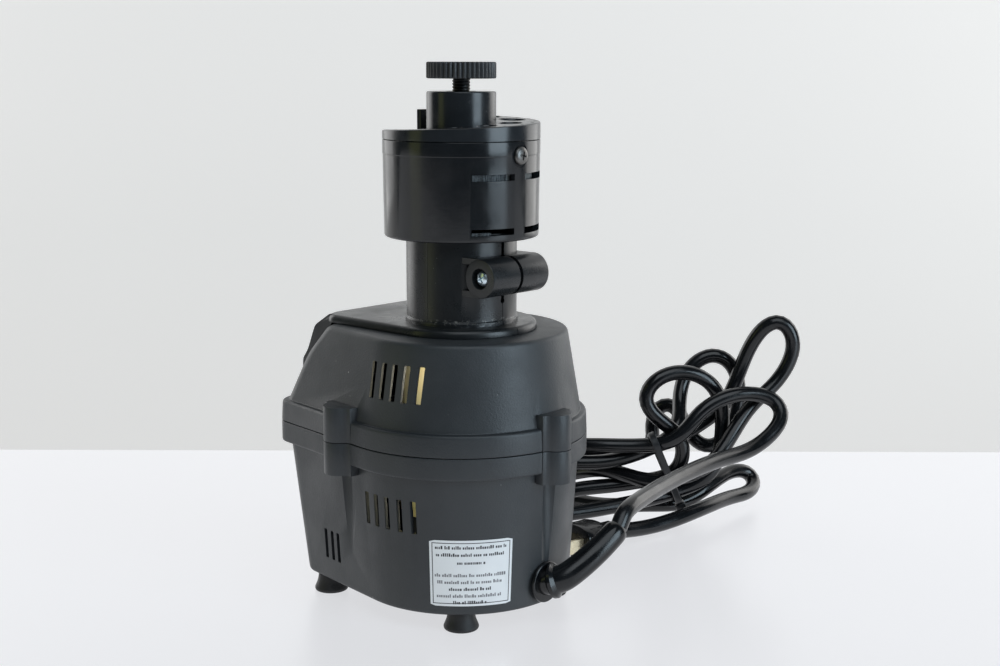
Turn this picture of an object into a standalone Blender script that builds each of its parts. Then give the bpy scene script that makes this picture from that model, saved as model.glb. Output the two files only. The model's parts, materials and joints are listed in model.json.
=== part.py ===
"""A bench-top drill-bit sharpener: a two-shell base with a brushed motor, a clamped neck, a grinding head
with bit-guide holes and a depth adjuster, and a mains cord in a tied bundle.

Sizes are in millimetres, and new_piece() writes them to the scene in metres. Heights are above the table.
Plan positions are from the neck's axis, with +Y towards the cord and +X towards the side with the notice.
"""

import math

import bmesh
import bpy
import numpy as np
from mathutils import Matrix, Vector, geometry

MM = 0.001
GAP = 0.3

# Base: a round rear about the neck's axis, sides that close in by TAPER degrees each, and a flat front.
BASE_BOTTOM, PARTING, SHOULDER = 7.8, 74.7, 118.3
BAND_HALF = 9.1
BAND_RADIUS = 52.9
LOWER_RADIUS_BOTTOM, LOWER_RADIUS_TOP = 45.8, 49.4
UPPER_RADIUS_BOTTOM, UPPER_RADIUS_MIDDLE, UPPER_RADIUS_TOP = 50.2, 46.6, 44.6
LOWER_FRONT_BOTTOM, LOWER_FRONT_TOP = -61.3, -68.3
BAND_FRONT = -70.9
UPPER_FRONT_BOTTOM, UPPER_FRONT_MIDDLE, UPPER_FRONT_TOP = -68.6, -57.5, -46.2
MIDDLE = 105.0
WALL = 2.8
CORNER = 9.0
TAPER = 8.5

# Screw bosses on the band, as (x, y, radius), and where the feet stand.
BOSSES = ((49.5, -22.3, 6.5), (-49.5, -22.3, 6.5), (0.0, 52.0, 6.2), (0.0, -64.0, 6.2))
BOSS_LOW, BOSS_HIGH = 61.0, 89.3
FEET = ((28.0, 26.0), (-28.0, 26.0), (32.4, -48.1), (-32.4, -48.1))

# Vent slots that pass through both side walls: (slot centres along Y, width, low, high).
UPPER_VENTS = ((18.2, 12.4, 6.9, 1.3, -4.5), 2.7, 94.7, 109.4)
LOWER_VENTS = ((16.3, 10.2, 4.0, -2.0, -7.8), 2.5, 41.6, 55.2)
FRONT_VENTS = ((-31.8, -36.2, -40.9), 2.1, 17.9, 31.0)

# Neck bracket: raised pad, front panel, neck tube and split clamp.
PAD_LOW, PAD_TOP = 118.6, 121.7
PAD_RADIUS_LOW, PAD_RADIUS_TOP = 31.5, 28.4
PANEL_HALF_WIDTH = 29.0
PANEL_FRONT = -68.3
NECK_RADIUS, NECK_BORE, NECK_TOP = 23.0, 19.5, 156.4
LUG_Y, LUG_HEIGHT, LUG_RADIUS, LUG_END = 25.7, 142.4, 7.9, 16.7
SLIT_HALF = 0.85

# Head.
HEAD_LOW, HEAD_TOP = 156.7, 196.4
HEAD_RADIUS_LOW, HEAD_RADIUS_TOP, HEAD_INNER = 32.0, 32.5, 29.4
LINER_OUTER, LINER_INNER = 19.2, 17.3
TUBE_OUTER, TUBE_INNER, TUBE_LOW = 17.0, 14.5, 124.0
CAP_LOW, RAMP_LOW, RAMP_RISE = 196.7, 198.5, 7.2
RAMP_START = 233.5
BOSS_RADIUS, BOSS_TOP = 14.3, 215.7
GUIDE_RING = 22.0
# Bit-guide holes: (degrees past the ramp's step, diameter), the largest where the ramp is tallest.
GUIDES = ((36, 3.2), (66, 4.0), (97, 4.8), (129, 5.6), (163, 6.4), (197, 7.9), (234, 9.5), (276, 11.1),
          (321, 12.7))
SIDE_SCREWS = (90.0, 270.0)
SIDE_SCREW_HEIGHT = 190.8

# Adjuster.
KNOB_RADIUS, KNOB_LOW, KNOB_TOP, KNOB_FLUTES = 14.35, 220.8, 227.5, 44
STEM_RADIUS = 3.7

# Motor, on the neck's axis.
CAN_RADIUS, CAN_LOW, CAN_TOP = 27.0, 44.0, 105.0
SHAFT_RADIUS = 3.0

# Switch on the front panel.
SWITCH_HEIGHT, SWITCH_HALF_WIDTH, SWITCH_HALF_HEIGHT = 95.2, 9.5, 4.1
BEZEL_FRONT = PANEL_FRONT - 1.6

# Cord: the strain relief's path, then the cord's route, nine strands of which pass through one tie.
CORD_DIAMETER = 7.4
CORD_POINTS = 79
CORD_CLEAR = 9.6
CORD_KEEP_OUT = 63.0
RELIEF_PATH = ((0, 41, 17.5), (0, 48, 17.8), (-2.5, 54, 19.8), (-8, 58, 24), (-15.5, 61.7, 30),
               (-22.2, 63.6, 35), (-25.7, 63.7, 36.9))
CORD_ROUTE = (
    # Out of the strain relief, round the front loop and back to the tie.
    (-26.8, 63.8, 37.6), (-37, 62, 44), (-83, 51, 44), (-121, 47, 44), (-153, 48, 44), (-174, 50, 53), (-181, 45, 61),
    (-174, 36, 65), (-162, 27, 64), (-151, 18, 56), (-142, 11, 41), (-133, -5, 36), (-120, -21, 35),
    # Behind the base and back.
    (-104, -47, 32), (-95, -71, 24), (-107, -82, 16), (-123, -65, 12), (-129, -27, 25), (-136, -2, 21),
    # The tallest loop.
    (-146, 16, 26), (-155, 24, 33), (-177, 29, 58), (-188, 35, 67), (-195, 40, 79), (-197, 42, 92), (-192, 36, 103),
    (-187, 28, 97), (-184, 22, 85), (-182, 18, 72), (-176, 14, 57), (-160, 5, 46), (-150, -5, 38),
    # Behind the base again, then the small inner loop.
    (-136, -19, 33), (-120, -45, 30), (-114, -69, 28), (-121, -84, 24), (-141, -78, 18), (-153, -57, 17),
    (-167, -22, 29), (-166, -23, 42), (-168, -20, 52), (-171, -15, 55), (-172, -8, 51), (-169, -1, 41),
    # The middle loop.
    (-173, 8, 32), (-183, 15, 38), (-188, 18, 55), (-187, 17, 73), (-180, 9, 81), (-173, 2, 76), (-169, -2, 68),
    (-163, 1, 56), (-152, 9, 45), (-143, 0, 37),
    # Close behind the base and back.
    (-126, -15, 31), (-107, -33, 34), (-89, -46, 36), (-72, -52, 30), (-68, -45, 20), (-84, -30, 14),
    (-111, -14, 16), (-151, 9, 25),
    # The wide loop on the left.
    (-161, 19, 33), (-169, 18, 55), (-165, 18, 69), (-158, 13, 77), (-148, 5, 79), (-139, -1, 75), (-134, -5, 65),
    (-137, -1, 57), (-143, 5, 50), (-147, 12, 44), (-147, 10, 26), (-137, -9, 22),
    # Down to the table behind the base, and along it to the small loop on the right.
    (-117, -28, 20), (-103, -48, 12), (-105, -67, 7), (-122, -69, 5), (-133, -52, 4), (-134, -28, 5), (-144, -5, 8),
    (-158, 4, 7), (-174, 9, 14), (-193, 8, 17), (-206, 11, 17), (-208, 16, 11), (-195, 20, 8),
    # Back along the table to the plug.
    (-178, 19, 9), (-151, 20, 9), (-132, 17, 7), (-117, 13, 6), (-106, 11, 7), (-94.4, 9, 8.4),
)
TIE_CENTRE, TIE_AXIS = (-144.7, 0.4, 31.4), (-0.59, 0.62, 0.36)
# The tie takes in the strands that cross its plane this near, and keeps this far from their middles.
TIE_REACH, TIE_CLEAR, TIE_THICK, TIE_HALF_WIDTH = 22.0, 5.2, 1.3, 1.7
PLUG_TAIL, PLUG_AXIS = (-94, 9, 8.4), (0.985, -0.17, 0.0)
PLUG_LENGTH, PLUG_HALF_WIDTH, PLUG_HALF_HEIGHT = 24.0, 11.4, 8.0
BLADE_LENGTH, BLADE_HALF_SPACING = 16.0, 6.35

FRONT_EXTENT, REAR_EXTENT = BEZEL_FRONT - 1.6, BOSSES[2][1] + BOSSES[2][2]
NECK_Y = -(FRONT_EXTENT + REAR_EXTENT) / 2


# ---------------------------------------------------------------- helpers


def clear_scene():
    for obj in list(bpy.data.objects):
        bpy.data.objects.remove(obj, do_unlink=True)


def material(name, color, roughness, metallic=0.0):
    made = bpy.data.materials.new(name)
    made.use_nodes = True
    shader = made.node_tree.nodes["Principled BSDF"]
    shader.inputs["Base Color"].default_value = (*color, 1.0)
    shader.inputs["Roughness"].default_value = roughness
    shader.inputs["Metallic"].default_value = metallic
    return made


def empty(name, location=(0, 0, 0), parent=None):
    made = bpy.data.objects.new(name, None)
    made.empty_display_size = 0.01
    made.location = [value * MM for value in location]
    made.parent = parent
    bpy.context.scene.collection.objects.link(made)
    return made


def new_piece(name, mesh, surface, parent, smooth=35.0):
    """An object from a bmesh in millimetres."""
    bmesh.ops.scale(mesh, vec=(MM, MM, MM), verts=mesh.verts)
    bmesh.ops.triangulate(mesh, faces=mesh.faces)
    bmesh.ops.recalc_face_normals(mesh, faces=mesh.faces)
    data = bpy.data.meshes.new(name)
    mesh.to_mesh(data)
    mesh.free()
    if surface:
        data.materials.append(surface)
    data.shade_smooth()
    data.set_sharp_from_angle(angle=math.radians(smooth))
    made = bpy.data.objects.new(name, data)
    made.parent = parent
    bpy.context.scene.collection.objects.link(made)
    return made


def combine(obj, operation, cutters, solver):
    """Adds one Boolean modifier for each helper mesh, and hides the helpers."""
    for mesh in cutters:
        helper = new_piece(f"{obj.name}_{operation.lower()}", mesh, None, obj.parent)
        helper.hide_render = True
        helper.display_type = "WIRE"
        modifier = obj.modifiers.new(operation.title(), "BOOLEAN")
        modifier.operation = operation
        modifier.solver = solver
        modifier.object = helper


def cut(obj, *cutters, solver="EXACT"):
    combine(obj, "DIFFERENCE", cutters, solver)


def fuse(obj, *others, solver="EXACT"):
    combine(obj, "UNION", others, solver)


def merged(*meshes):
    """One bmesh of several that stay clear of each other."""
    result = bmesh.new()
    for mesh in meshes:
        data = bpy.data.meshes.new("part")
        mesh.to_mesh(data)
        result.from_mesh(data)
        mesh.free()
        bpy.data.meshes.remove(data)
    return result


def loft(sections):
    """A closed solid through rings of equally many points."""
    mesh = bmesh.new()
    rings = [[mesh.verts.new(point) for point in section] for section in sections]
    for low, high in zip(rings, rings[1:]):
        for i in range(len(low)):
            j = (i + 1) % len(low)
            mesh.faces.new((low[i], low[j], high[j], high[i]))
    mesh.faces.new(reversed(rings[0]))
    mesh.faces.new(rings[-1])
    bmesh.ops.recalc_face_normals(mesh, faces=mesh.faces)
    return mesh


def turned(profile, segments=32, centre=(0, 0), start=0.0, sweep=360.0):
    """A closed (radius, height) outline turned about a vertical axis, all round or through part of a turn."""
    mesh = bmesh.new()
    whole = sweep >= 360.0
    steps = segments if whole else segments + 1
    rings = []
    for i in range(steps):
        angle = math.radians(start + sweep * i / segments)
        ring = []
        for j, (radius, height) in enumerate(profile):
            if radius == 0 and i:
                ring.append(rings[0][j])
                continue
            x, y = centre[0] + radius * math.cos(angle), centre[1] + radius * math.sin(angle)
            ring.append(mesh.verts.new((x, y, height)))
        rings.append(ring)
    pairs = [(rings[i], rings[(i + 1) % steps]) for i in range(steps if whole else steps - 1)]
    for here, there in pairs:
        for j in range(len(profile)):
            k = (j + 1) % len(profile)
            corners = []
            for corner in (here[j], there[j], there[k], here[k]):
                if corner not in corners:
                    corners.append(corner)
            if len(corners) > 2:
                mesh.faces.new(corners)
    if not whole:
        mesh.faces.new(rings[0])
        mesh.faces.new(rings[-1])
    bmesh.ops.recalc_face_normals(mesh, faces=mesh.faces)
    return mesh


def tube(outer, inner, low, high, segments=32, centre=(0, 0)):
    return turned([(inner, low), (outer, low), (outer, high), (inner, high)], segments, centre)


def disc(radius, low, high, segments=24, centre=(0, 0)):
    return turned([(0, low), (radius, low), (radius, high), (0, high)], segments, centre)


def sector(outer, inner, low, high, middle, width, segments=8):
    """Part of a ring, `width` degrees wide about the angle `middle`."""
    outline = [(inner, low), (outer, low), (outer, high), (inner, high)]
    return turned(outline, segments, start=middle - width / 2, sweep=width)


def block(low, high):
    mesh = bmesh.new()
    bmesh.ops.create_cube(mesh, size=1.0)
    for vert in mesh.verts:
        vert.co = [low[i] + (vert.co[i] + 0.5) * (high[i] - low[i]) for i in range(3)]
    return mesh


def prism(outline, low, high):
    return loft([[(x, y, z) for x, y in outline] for z in (low, high)])


def lying(mesh, axis, position):
    """Turns a mesh built along Z so that it lies along the unit vector `axis`, from `position`."""
    turn = Vector((0, 0, 1)).rotation_difference(Vector(axis)).to_matrix()
    for vert in mesh.verts:
        vert.co = turn @ vert.co + Vector(position)
    return mesh


def polygon(radius, sides, centre=(0, 0), phase=0.0):
    angles = [phase + 2 * math.pi * i / sides for i in range(sides)]
    return [(centre[0] + radius * math.cos(a), centre[1] + radius * math.sin(a)) for a in angles]


def horseshoe(radius, front, height, corner=CORNER, taper=TAPER, arc_steps=18, corner_steps=3):
    """The plan at one height: an arc about the neck's axis, straight sides that close in and round front corners."""
    lean = math.radians(taper)
    centre_x = (radius - corner - (-front - corner) * math.sin(lean)) / math.cos(lean)
    centre_y = front + corner
    arcs = ((0, 0, radius, -lean, math.pi + lean, arc_steps),
            (-centre_x, centre_y, corner, math.pi + lean, 1.5 * math.pi, corner_steps),
            (centre_x, centre_y, corner, 1.5 * math.pi, 2 * math.pi - lean, corner_steps))
    points = []
    for x, y, size, first, last, steps in arcs:
        for i in range(steps + 1):
            angle = first + (last - first) * i / steps
            points.append((x + size * math.cos(angle), y + size * math.sin(angle), height))
    return points


def smooth_path(points, step):
    """Points `step` apart along one Catmull-Rom curve through the given points."""
    given = np.array(points, float)
    ends = np.vstack([2 * given[0] - given[1], given, 2 * given[-1] - given[-2]])
    fine = []
    for a, b, c, d in zip(ends, ends[1:], ends[2:], ends[3:]):
        for t in np.arange(0, 1, 0.05):
            bend = (2 * a - 5 * b + 4 * c - d) * t**2 + (3 * b - a - 3 * c + d) * t**3
            fine.append(0.5 * (2 * b + (c - a) * t + bend))
    fine = np.array([*fine, given[-1]])
    along = np.concatenate([[0], np.cumsum(np.linalg.norm(np.diff(fine, axis=0), axis=1))])
    count = max(2, round(along[-1] / step)) + 1
    even = np.linspace(0, along[-1], count)
    return np.stack([np.interp(even, along, fine[:, i]) for i in range(3)], axis=1)


def swept(path, radii, sides=12):
    """A tube of changing radius along a path."""
    sections = []
    across = None
    for i, point in enumerate(path):
        ahead = Vector(path[min(i + 1, len(path) - 1)] - path[max(i - 1, 0)]).normalized()
        if across is None:
            across = ahead.orthogonal().normalized()
        across = (across - ahead * across.dot(ahead)).normalized()
        over = ahead.cross(across)
        ring = []
        for j in range(sides):
            angle = 2 * math.pi * j / sides
            ring.append(Vector(point) + radii[i] * (math.cos(angle) * across + math.sin(angle) * over))
        sections.append(ring)
    return loft(sections)


# ---------------------------------------------------------------- base


def wall_radius(height):
    """Outer radius of the lower shell's wall."""
    low, high = BASE_BOTTOM + 2, PARTING - BAND_HALF
    return LOWER_RADIUS_BOTTOM + (LOWER_RADIUS_TOP - LOWER_RADIUS_BOTTOM) * (height - low) / (high - low)


def vent_cutters(vents):
    centres, width, low, high = vents
    return merged(*[block((-70, y - width / 2, low), (70, y + width / 2, high)) for y in centres])


def lower_housing(parent, surface):
    band_low = PARTING - BAND_HALF
    outer = loft([
        horseshoe(LOWER_RADIUS_BOTTOM - 2, LOWER_FRONT_BOTTOM + 2, BASE_BOTTOM),
        horseshoe(LOWER_RADIUS_BOTTOM, LOWER_FRONT_BOTTOM, BASE_BOTTOM + 2),
        horseshoe(LOWER_RADIUS_TOP, LOWER_FRONT_TOP, band_low),
        horseshoe(BAND_RADIUS - 0.4, BAND_FRONT + 0.4, band_low),
        horseshoe(BAND_RADIUS, BAND_FRONT, PARTING - GAP / 2),
    ])
    shell = new_piece("lower_housing", outer, surface, parent)
    inner = loft([
        horseshoe(LOWER_RADIUS_BOTTOM - WALL, LOWER_FRONT_BOTTOM + WALL, BASE_BOTTOM + WALL, CORNER - WALL),
        horseshoe(LOWER_RADIUS_TOP - WALL, LOWER_FRONT_TOP + WALL, PARTING + 1, CORNER - WALL),
    ])
    cut(shell, inner)
    seat = tube(24.0, 21.0, BASE_BOTTOM + 1, 40.2, 24)
    posts = [disc(radius, BOSS_LOW, PARTING - GAP / 2, 16, (x, y)) for x, y, radius in BOSSES]
    fuse(shell, merged(seat, *posts))
    bore = [(0, 60), (3.9, 60), (3.9, 64.1), (2.1, 64.1), (2.1, 76), (0, 76)]
    bores = [turned(bore, 12, (x, y)) for x, y, _ in BOSSES]
    relief = lying(disc(6.2, 0, 20, 16), (0, 1, 0), (0, 38, RELIEF_PATH[0][2]))
    cut(shell, merged(*bores), vent_cutters(LOWER_VENTS), vent_cutters(FRONT_VENTS), relief)
    return shell


def upper_housing(parent, surface):
    band_high = PARTING + BAND_HALF
    outer = loft([
        horseshoe(BAND_RADIUS, BAND_FRONT, PARTING + GAP / 2),
        horseshoe(BAND_RADIUS - 0.4, BAND_FRONT + 0.4, band_high),
        horseshoe(UPPER_RADIUS_BOTTOM, UPPER_FRONT_BOTTOM, band_high),
        horseshoe(UPPER_RADIUS_MIDDLE, UPPER_FRONT_MIDDLE, MIDDLE),
        horseshoe(UPPER_RADIUS_TOP, UPPER_FRONT_TOP, SHOULDER - 1.6),
        horseshoe(UPPER_RADIUS_TOP - 1.9, UPPER_FRONT_TOP + 1.9, SHOULDER),
    ])
    shell = new_piece("upper_housing", outer, surface, parent)
    inner = loft([
        horseshoe(UPPER_RADIUS_BOTTOM - WALL, UPPER_FRONT_BOTTOM + WALL, PARTING - 1, CORNER - WALL),
        horseshoe(UPPER_RADIUS_MIDDLE - WALL, UPPER_FRONT_MIDDLE + WALL, MIDDLE, CORNER - WALL),
        horseshoe(UPPER_RADIUS_TOP - WALL, UPPER_FRONT_TOP + WALL, SHOULDER - WALL, CORNER - WALL),
    ])
    cut(shell, inner)
    posts = [disc(radius, PARTING + GAP / 2, BOSS_HIGH, 16, (x, y)) for x, y, radius in BOSSES]
    fuse(shell, merged(*posts))
    bores = [disc(2.1, 70, BOSS_HIGH - 3, 12, (x, y)) for x, y, _ in BOSSES]
    half_x, half_z = SWITCH_HALF_WIDTH + GAP, SWITCH_HALF_HEIGHT + GAP
    switch = block((-half_x, -85, SWITCH_HEIGHT - half_z), (half_x, -45, SWITCH_HEIGHT + half_z))
    opening = disc(20.0, SHOULDER - 6, SHOULDER + 3, 24)
    cut(shell, merged(*bores), vent_cutters(UPPER_VENTS), merged(switch, opening))
    return shell


def neck_bracket(parent, surface):
    """Raised pad on the shoulder, a panel down the front slope, the neck tube and the clamp's two lugs."""
    pad_front = -50.0
    pad = new_piece("neck_bracket", loft([
        horseshoe(PAD_RADIUS_LOW, pad_front - 3, PAD_LOW, 8, 0),
        horseshoe(PAD_RADIUS_LOW - 0.4, pad_front - 2, PAD_LOW + 1.4, 8, 0),
        horseshoe(PAD_RADIUS_TOP + 0.8, pad_front - 0.4, PAD_TOP - 0.5, 8, 0),
        horseshoe(PAD_RADIUS_TOP, pad_front, PAD_TOP, 8, 0),
    ]), surface, parent)
    foot = BOSS_HIGH + GAP
    side = [(-46, PAD_LOW), (-46, PAD_TOP - 0.4), (pad_front, PAD_TOP - 0.4), (-60, 115.5), (-65, 104),
            (PANEL_FRONT, 99.8), (PANEL_FRONT, foot), (-66.4, foot), (-58.0, MIDDLE), (-48.4, PAD_LOW)]
    panel = loft([[(x, y, z) for y, z in side] for x in (-PANEL_HALF_WIDTH, PANEL_HALF_WIDTH)])
    collar, lip = NECK_RADIUS + 0.5, PAD_TOP + 1.6
    neck = turned([(0, PAD_LOW + 0.5), (collar, PAD_LOW + 0.5), (collar, lip), (NECK_RADIUS, lip + 0.3),
                   (NECK_RADIUS, NECK_TOP), (0, NECK_TOP)], 40)
    lugs = lying(disc(LUG_RADIUS, -LUG_END, LUG_END, 24), (1, 0, 0), (0, LUG_Y, LUG_HEIGHT))
    web = block((-12.7, 10, LUG_HEIGHT - 5.6), (12.7, LUG_Y, LUG_HEIGHT + 5.6))
    half_rib = [(16.4, LUG_Y), (16.4, 20.5), (21.4, 9.6), (18, 8.5)]
    rib = [*half_rib, *[(-x, y) for x, y in reversed(half_rib)]]
    ribs = [prism(rib, LUG_HEIGHT + low, LUG_HEIGHT + low + 2.3) for low in (5.4, -7.7)]
    fuse(pad, panel, neck, lugs, web, *ribs, solver="MANIFOLD")
    bore = turned([(0, PAD_LOW - 2), (12, PAD_LOW - 2), (12, PAD_TOP), (NECK_BORE, PAD_TOP), (NECK_BORE, 160),
                   (0, 160)], 40)
    slit = block((-SLIT_HALF, 12, 131.5), (SLIT_HALF, 40, 160))
    screw_way = turned([(0, -30), (2.3, -30), (2.3, 13.5), (4.15, 13.5), (4.15, 20), (0, 20)], 16)
    nut_way = prism(polygon(4.4, 6), -20, -13.3)
    half_x, half_z = SWITCH_HALF_WIDTH + GAP, SWITCH_HALF_HEIGHT + GAP
    switch = block((-half_x, -85, SWITCH_HEIGHT - half_z), (half_x, -45, SWITCH_HEIGHT + half_z))
    across = (1, 0, 0), (0, LUG_Y, LUG_HEIGHT)
    screw_way, nut_way = lying(screw_way, *across), lying(nut_way, *across)
    cut(pad, bore, slit, screw_way, nut_way, switch, solver="MANIFOLD")
    return pad


def clamp_screw(parent, surface):
    outline = [(0, -15.4), (2.0, -15.4), (2.0, 13.8), (3.35, 13.8), (3.35, 15.5), (2.4, 16.3), (0, 16.3)]
    shape = turned(outline, 16)
    screw = new_piece("clamp_screw", lying(shape, (1, 0, 0), (0, LUG_Y, LUG_HEIGHT)), surface, parent)
    across = [block((15.2, -1.9, -0.5), (17, 1.9, 0.5)), block((15.2, -0.5, -1.9), (17, 0.5, 1.9))]
    for recess in across:
        for vert in recess.verts:
            vert.co += Vector((0, LUG_Y, LUG_HEIGHT))
    cut(screw, *across)


def clamp_nut(parent, surface):
    nut = prism(polygon(4.0, 6), -16.7, -13.6)
    piece = new_piece("clamp_nut", lying(nut, (1, 0, 0), (0, LUG_Y, LUG_HEIGHT)), surface, parent)
    cut(piece, lying(disc(2.3, -20, 0, 12), (1, 0, 0), (0, LUG_Y, LUG_HEIGHT)))


def feet(parent, surface):
    for number, centre in enumerate(FEET, 1):
        outline = [(0, 0), (6.9, 0), (7.4, 0.7), (7.0, 2.0), (5.7, 4.2), (5.5, BASE_BOTTOM - GAP),
                   (0, BASE_BOTTOM - GAP)]
        new_piece(f"rubber_foot_{number}", turned(outline, 16, centre), surface, parent)


def housing_screws(parent, surface):
    for number, (x, y, _) in enumerate(BOSSES, 1):
        outline = [(0, 61.4), (3.4, 61.4), (3.4, 63.7), (1.75, 63.7), (1.75, 84.5), (0, 84.5)]
        new_piece(f"housing_screw_{number}", turned(outline, 12, (x, y)), surface, parent)


def notice_label(parent, surface):
    """A thin sticker that follows the lower wall, centred 42 degrees round from the rear."""
    low, high, middle, width = 12.0, 40.0, 48.0, 41.0
    outline = [(wall_radius(low) + GAP, low), (wall_radius(low) + 2 * GAP, low),
               (wall_radius(high) + 2 * GAP, high), (wall_radius(high) + GAP, high)]
    label = turned(outline, 12, start=middle - width / 2, sweep=width)
    new_piece("notice_label", label, surface, parent)


# ---------------------------------------------------------------- motor and switch


def motor_frame(parent, zinc, steel, magnet, carbon, board):
    can = new_piece("motor_can", tube(CAN_RADIUS, CAN_RADIUS - 1.4, CAN_LOW, CAN_TOP, 40), zinc, parent)
    windows = [block((-4, 18, 46), (4, 32, 52)), block((-4, -32, 46), (4, -18, 52))]
    cut(can, merged(*windows))
    for name, low in (("motor_end_bottom", 40.6), ("motor_end_top", CAN_TOP + GAP)):
        plate = tube(26.4, 8.3, low, low + 3.0, 32)
        new_piece(name, plate, zinc, parent)
    for name, low in (("motor_bearing_bottom", 39.6), ("motor_bearing_top", CAN_TOP - 0.7)):
        new_piece(name, tube(8.0, SHAFT_RADIUS + GAP, low, low + 5.0, 16), steel, parent)
    for number, middle in enumerate((0, 180), 1):
        new_piece(f"motor_magnet_{number}", sector(25.3, 21.5, 55, 94, middle, 120, 10), magnet, parent)
    for number, side in enumerate((-1, 1), 1):
        low_x, high_x = sorted((side * 8.5, side * 20.0))
        new_piece(f"brush_{number}", block((low_x, -2.5, 47), (high_x, 2.5, 51)), carbon, parent)
    new_piece("rectifier_board", block((-15, -40.0, 50), (15, -38.4, 76)), board, parent)


def rotor(parent, steel, core, copper, plastic):
    new_piece("armature_shaft", disc(SHAFT_RADIUS, 34, 128, 16), steel, parent)
    stack = new_piece("armature_core", tube(20.5, SHAFT_RADIUS + GAP, 57, 92, 24), core, parent)
    slots = []
    for i in range(8):
        angle = 2 * math.pi * i / 8
        slots.append(disc(3.2, 55, 94, 8, (17.2 * math.cos(angle), 17.2 * math.sin(angle))))
    cut(stack, merged(*slots))
    new_piece("commutator", tube(8.0, SHAFT_RADIUS + GAP, 46, 53, 16), copper, parent)
    bore = SHAFT_RADIUS + GAP
    wheel = [(bore, 110), (22, 110), (22, 111.3), (6.5, 111.3), (6.5, 115.2), (bore, 115.2)]
    fan = new_piece("cooling_fan", turned(wheel, 32), plastic, parent)
    blades = []
    for i in range(8):
        blade = block((5.6, -0.8, 110.6), (21.4, 0.8, 114.9))
        angle = math.pi * i / 4
        for vert in blade.verts:
            vert.co.rotate(Matrix.Rotation(angle, 3, "Z"))
        blades.append(blade)
    fuse(fan, merged(*blades))
    dog = [(3.3, 121), (8, 121), (8, 146), (3.5, 146), (3.5, 130), (3.3, 130)]
    new_piece("drive_dog", turned(dog, 24), steel, parent)


def switch(parent, rocker_parent, plastic, rocker_surface):
    half_x, half_z = SWITCH_HALF_WIDTH, SWITCH_HALF_HEIGHT
    low_z, high_z = SWITCH_HEIGHT - half_z, SWITCH_HEIGHT + half_z
    body = new_piece("switch_body", block((-half_x, BEZEL_FRONT + 1, low_z), (half_x, -51, high_z)), plastic, parent)
    bezel = block((-half_x - 1.5, BEZEL_FRONT, low_z - 1.5), (half_x + 1.5, PANEL_FRONT - GAP, high_z + 1.5))
    fuse(body, bezel)
    cut(body, block((-half_x + 1.2, -75, low_z + 0.9), (half_x - 1.2, -61, high_z - 0.9)))
    outline = [(-7.9, 0.6), (-6.5, 1.2), (6.5, -0.9), (7.9, -1.6), (7.0, 4.6), (-7.0, 4.6)]
    rocker = loft([[(x, y, z) for x, y in outline] for z in (-2.9, 2.9)])
    new_piece("switch_rocker", rocker, rocker_surface, rocker_parent)


# ---------------------------------------------------------------- head


def neck_liner(parent, surface):
    liner = new_piece("neck_liner", tube(LINER_OUTER, LINER_INNER, 125, 156, 28), surface, parent)
    cut(liner, block((-1.2, 10, 120), (1.2, 25, 160)))


def head_housing(parent, surface):
    outline = [(TUBE_INNER, TUBE_LOW), (TUBE_OUTER, TUBE_LOW), (TUBE_OUTER, HEAD_LOW),
               (HEAD_RADIUS_LOW - 1.2, HEAD_LOW), (HEAD_RADIUS_LOW, HEAD_LOW + 1.2), (HEAD_RADIUS_TOP - 0.15, 190.5),
               (HEAD_RADIUS_TOP, 191.0), (HEAD_RADIUS_TOP, HEAD_TOP), (HEAD_INNER, HEAD_TOP),
               (HEAD_INNER, HEAD_LOW + 3), (TUBE_INNER, HEAD_LOW + 3)]
    shell = new_piece("head_housing", turned(outline, 48), surface, parent)
    slots = []
    for middle in (67.5, 112.5):
        for height in (160.9, 182.4):
            slots.append(sector(36, 27, height - 1.3, height + 1.3, middle, 34, 4))
    ways = []
    for angle in SIDE_SCREWS:
        out = (math.cos(math.radians(angle)), math.sin(math.radians(angle)), 0)
        way = turned([(0, 26), (1.9, 26), (1.9, 32.0), (4.8, 32.0), (4.8, 36), (0, 36)], 12)
        ways.append(lying(way, out, (0, 0, SIDE_SCREW_HEIGHT)))
    cut(shell, merged(*slots), merged(*ways))


def ramp(steps=48):
    """The cap's top: a ring whose top face rises once round, with a step where it ends."""
    inner, outer = BOSS_RADIUS - 1, HEAD_RADIUS_TOP
    mesh = bmesh.new()
    rings = []
    for i in range(steps + 1):
        angle = math.radians(RAMP_START + 360 * i / steps)
        top = RAMP_LOW + RAMP_RISE * i / steps
        c, s = math.cos(angle), math.sin(angle)
        low = rings[0][:2] if i == steps else [mesh.verts.new((r * c, r * s, CAP_LOW)) for r in (inner, outer)]
        high = [mesh.verts.new((r * c, r * s, z)) for r, z in ((outer, top - 0.5), (outer - 0.5, top), (inner, top))]
        rings.append([low[0], low[1], *high])
    first, last = rings[0], rings[-1]
    for here, there in zip(rings, rings[1:]):
        for j in range(5):
            k = (j + 1) % 5
            corners = [here[j], there[j], there[k], here[k]]
            if there is last and j == 1:
                corners.insert(2, first[2])
            if there is last and j == 4:
                corners.insert(2, first[4])
            mesh.faces.new(corners)
    mesh.faces.new((first[2], first[3], first[4], last[4], last[3], last[2]))
    bmesh.ops.recalc_face_normals(mesh, faces=mesh.faces)
    return mesh


def guide_centre(degrees):
    angle = math.radians(RAMP_START + degrees)
    return GUIDE_RING * math.cos(angle), GUIDE_RING * math.sin(angle)


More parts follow.
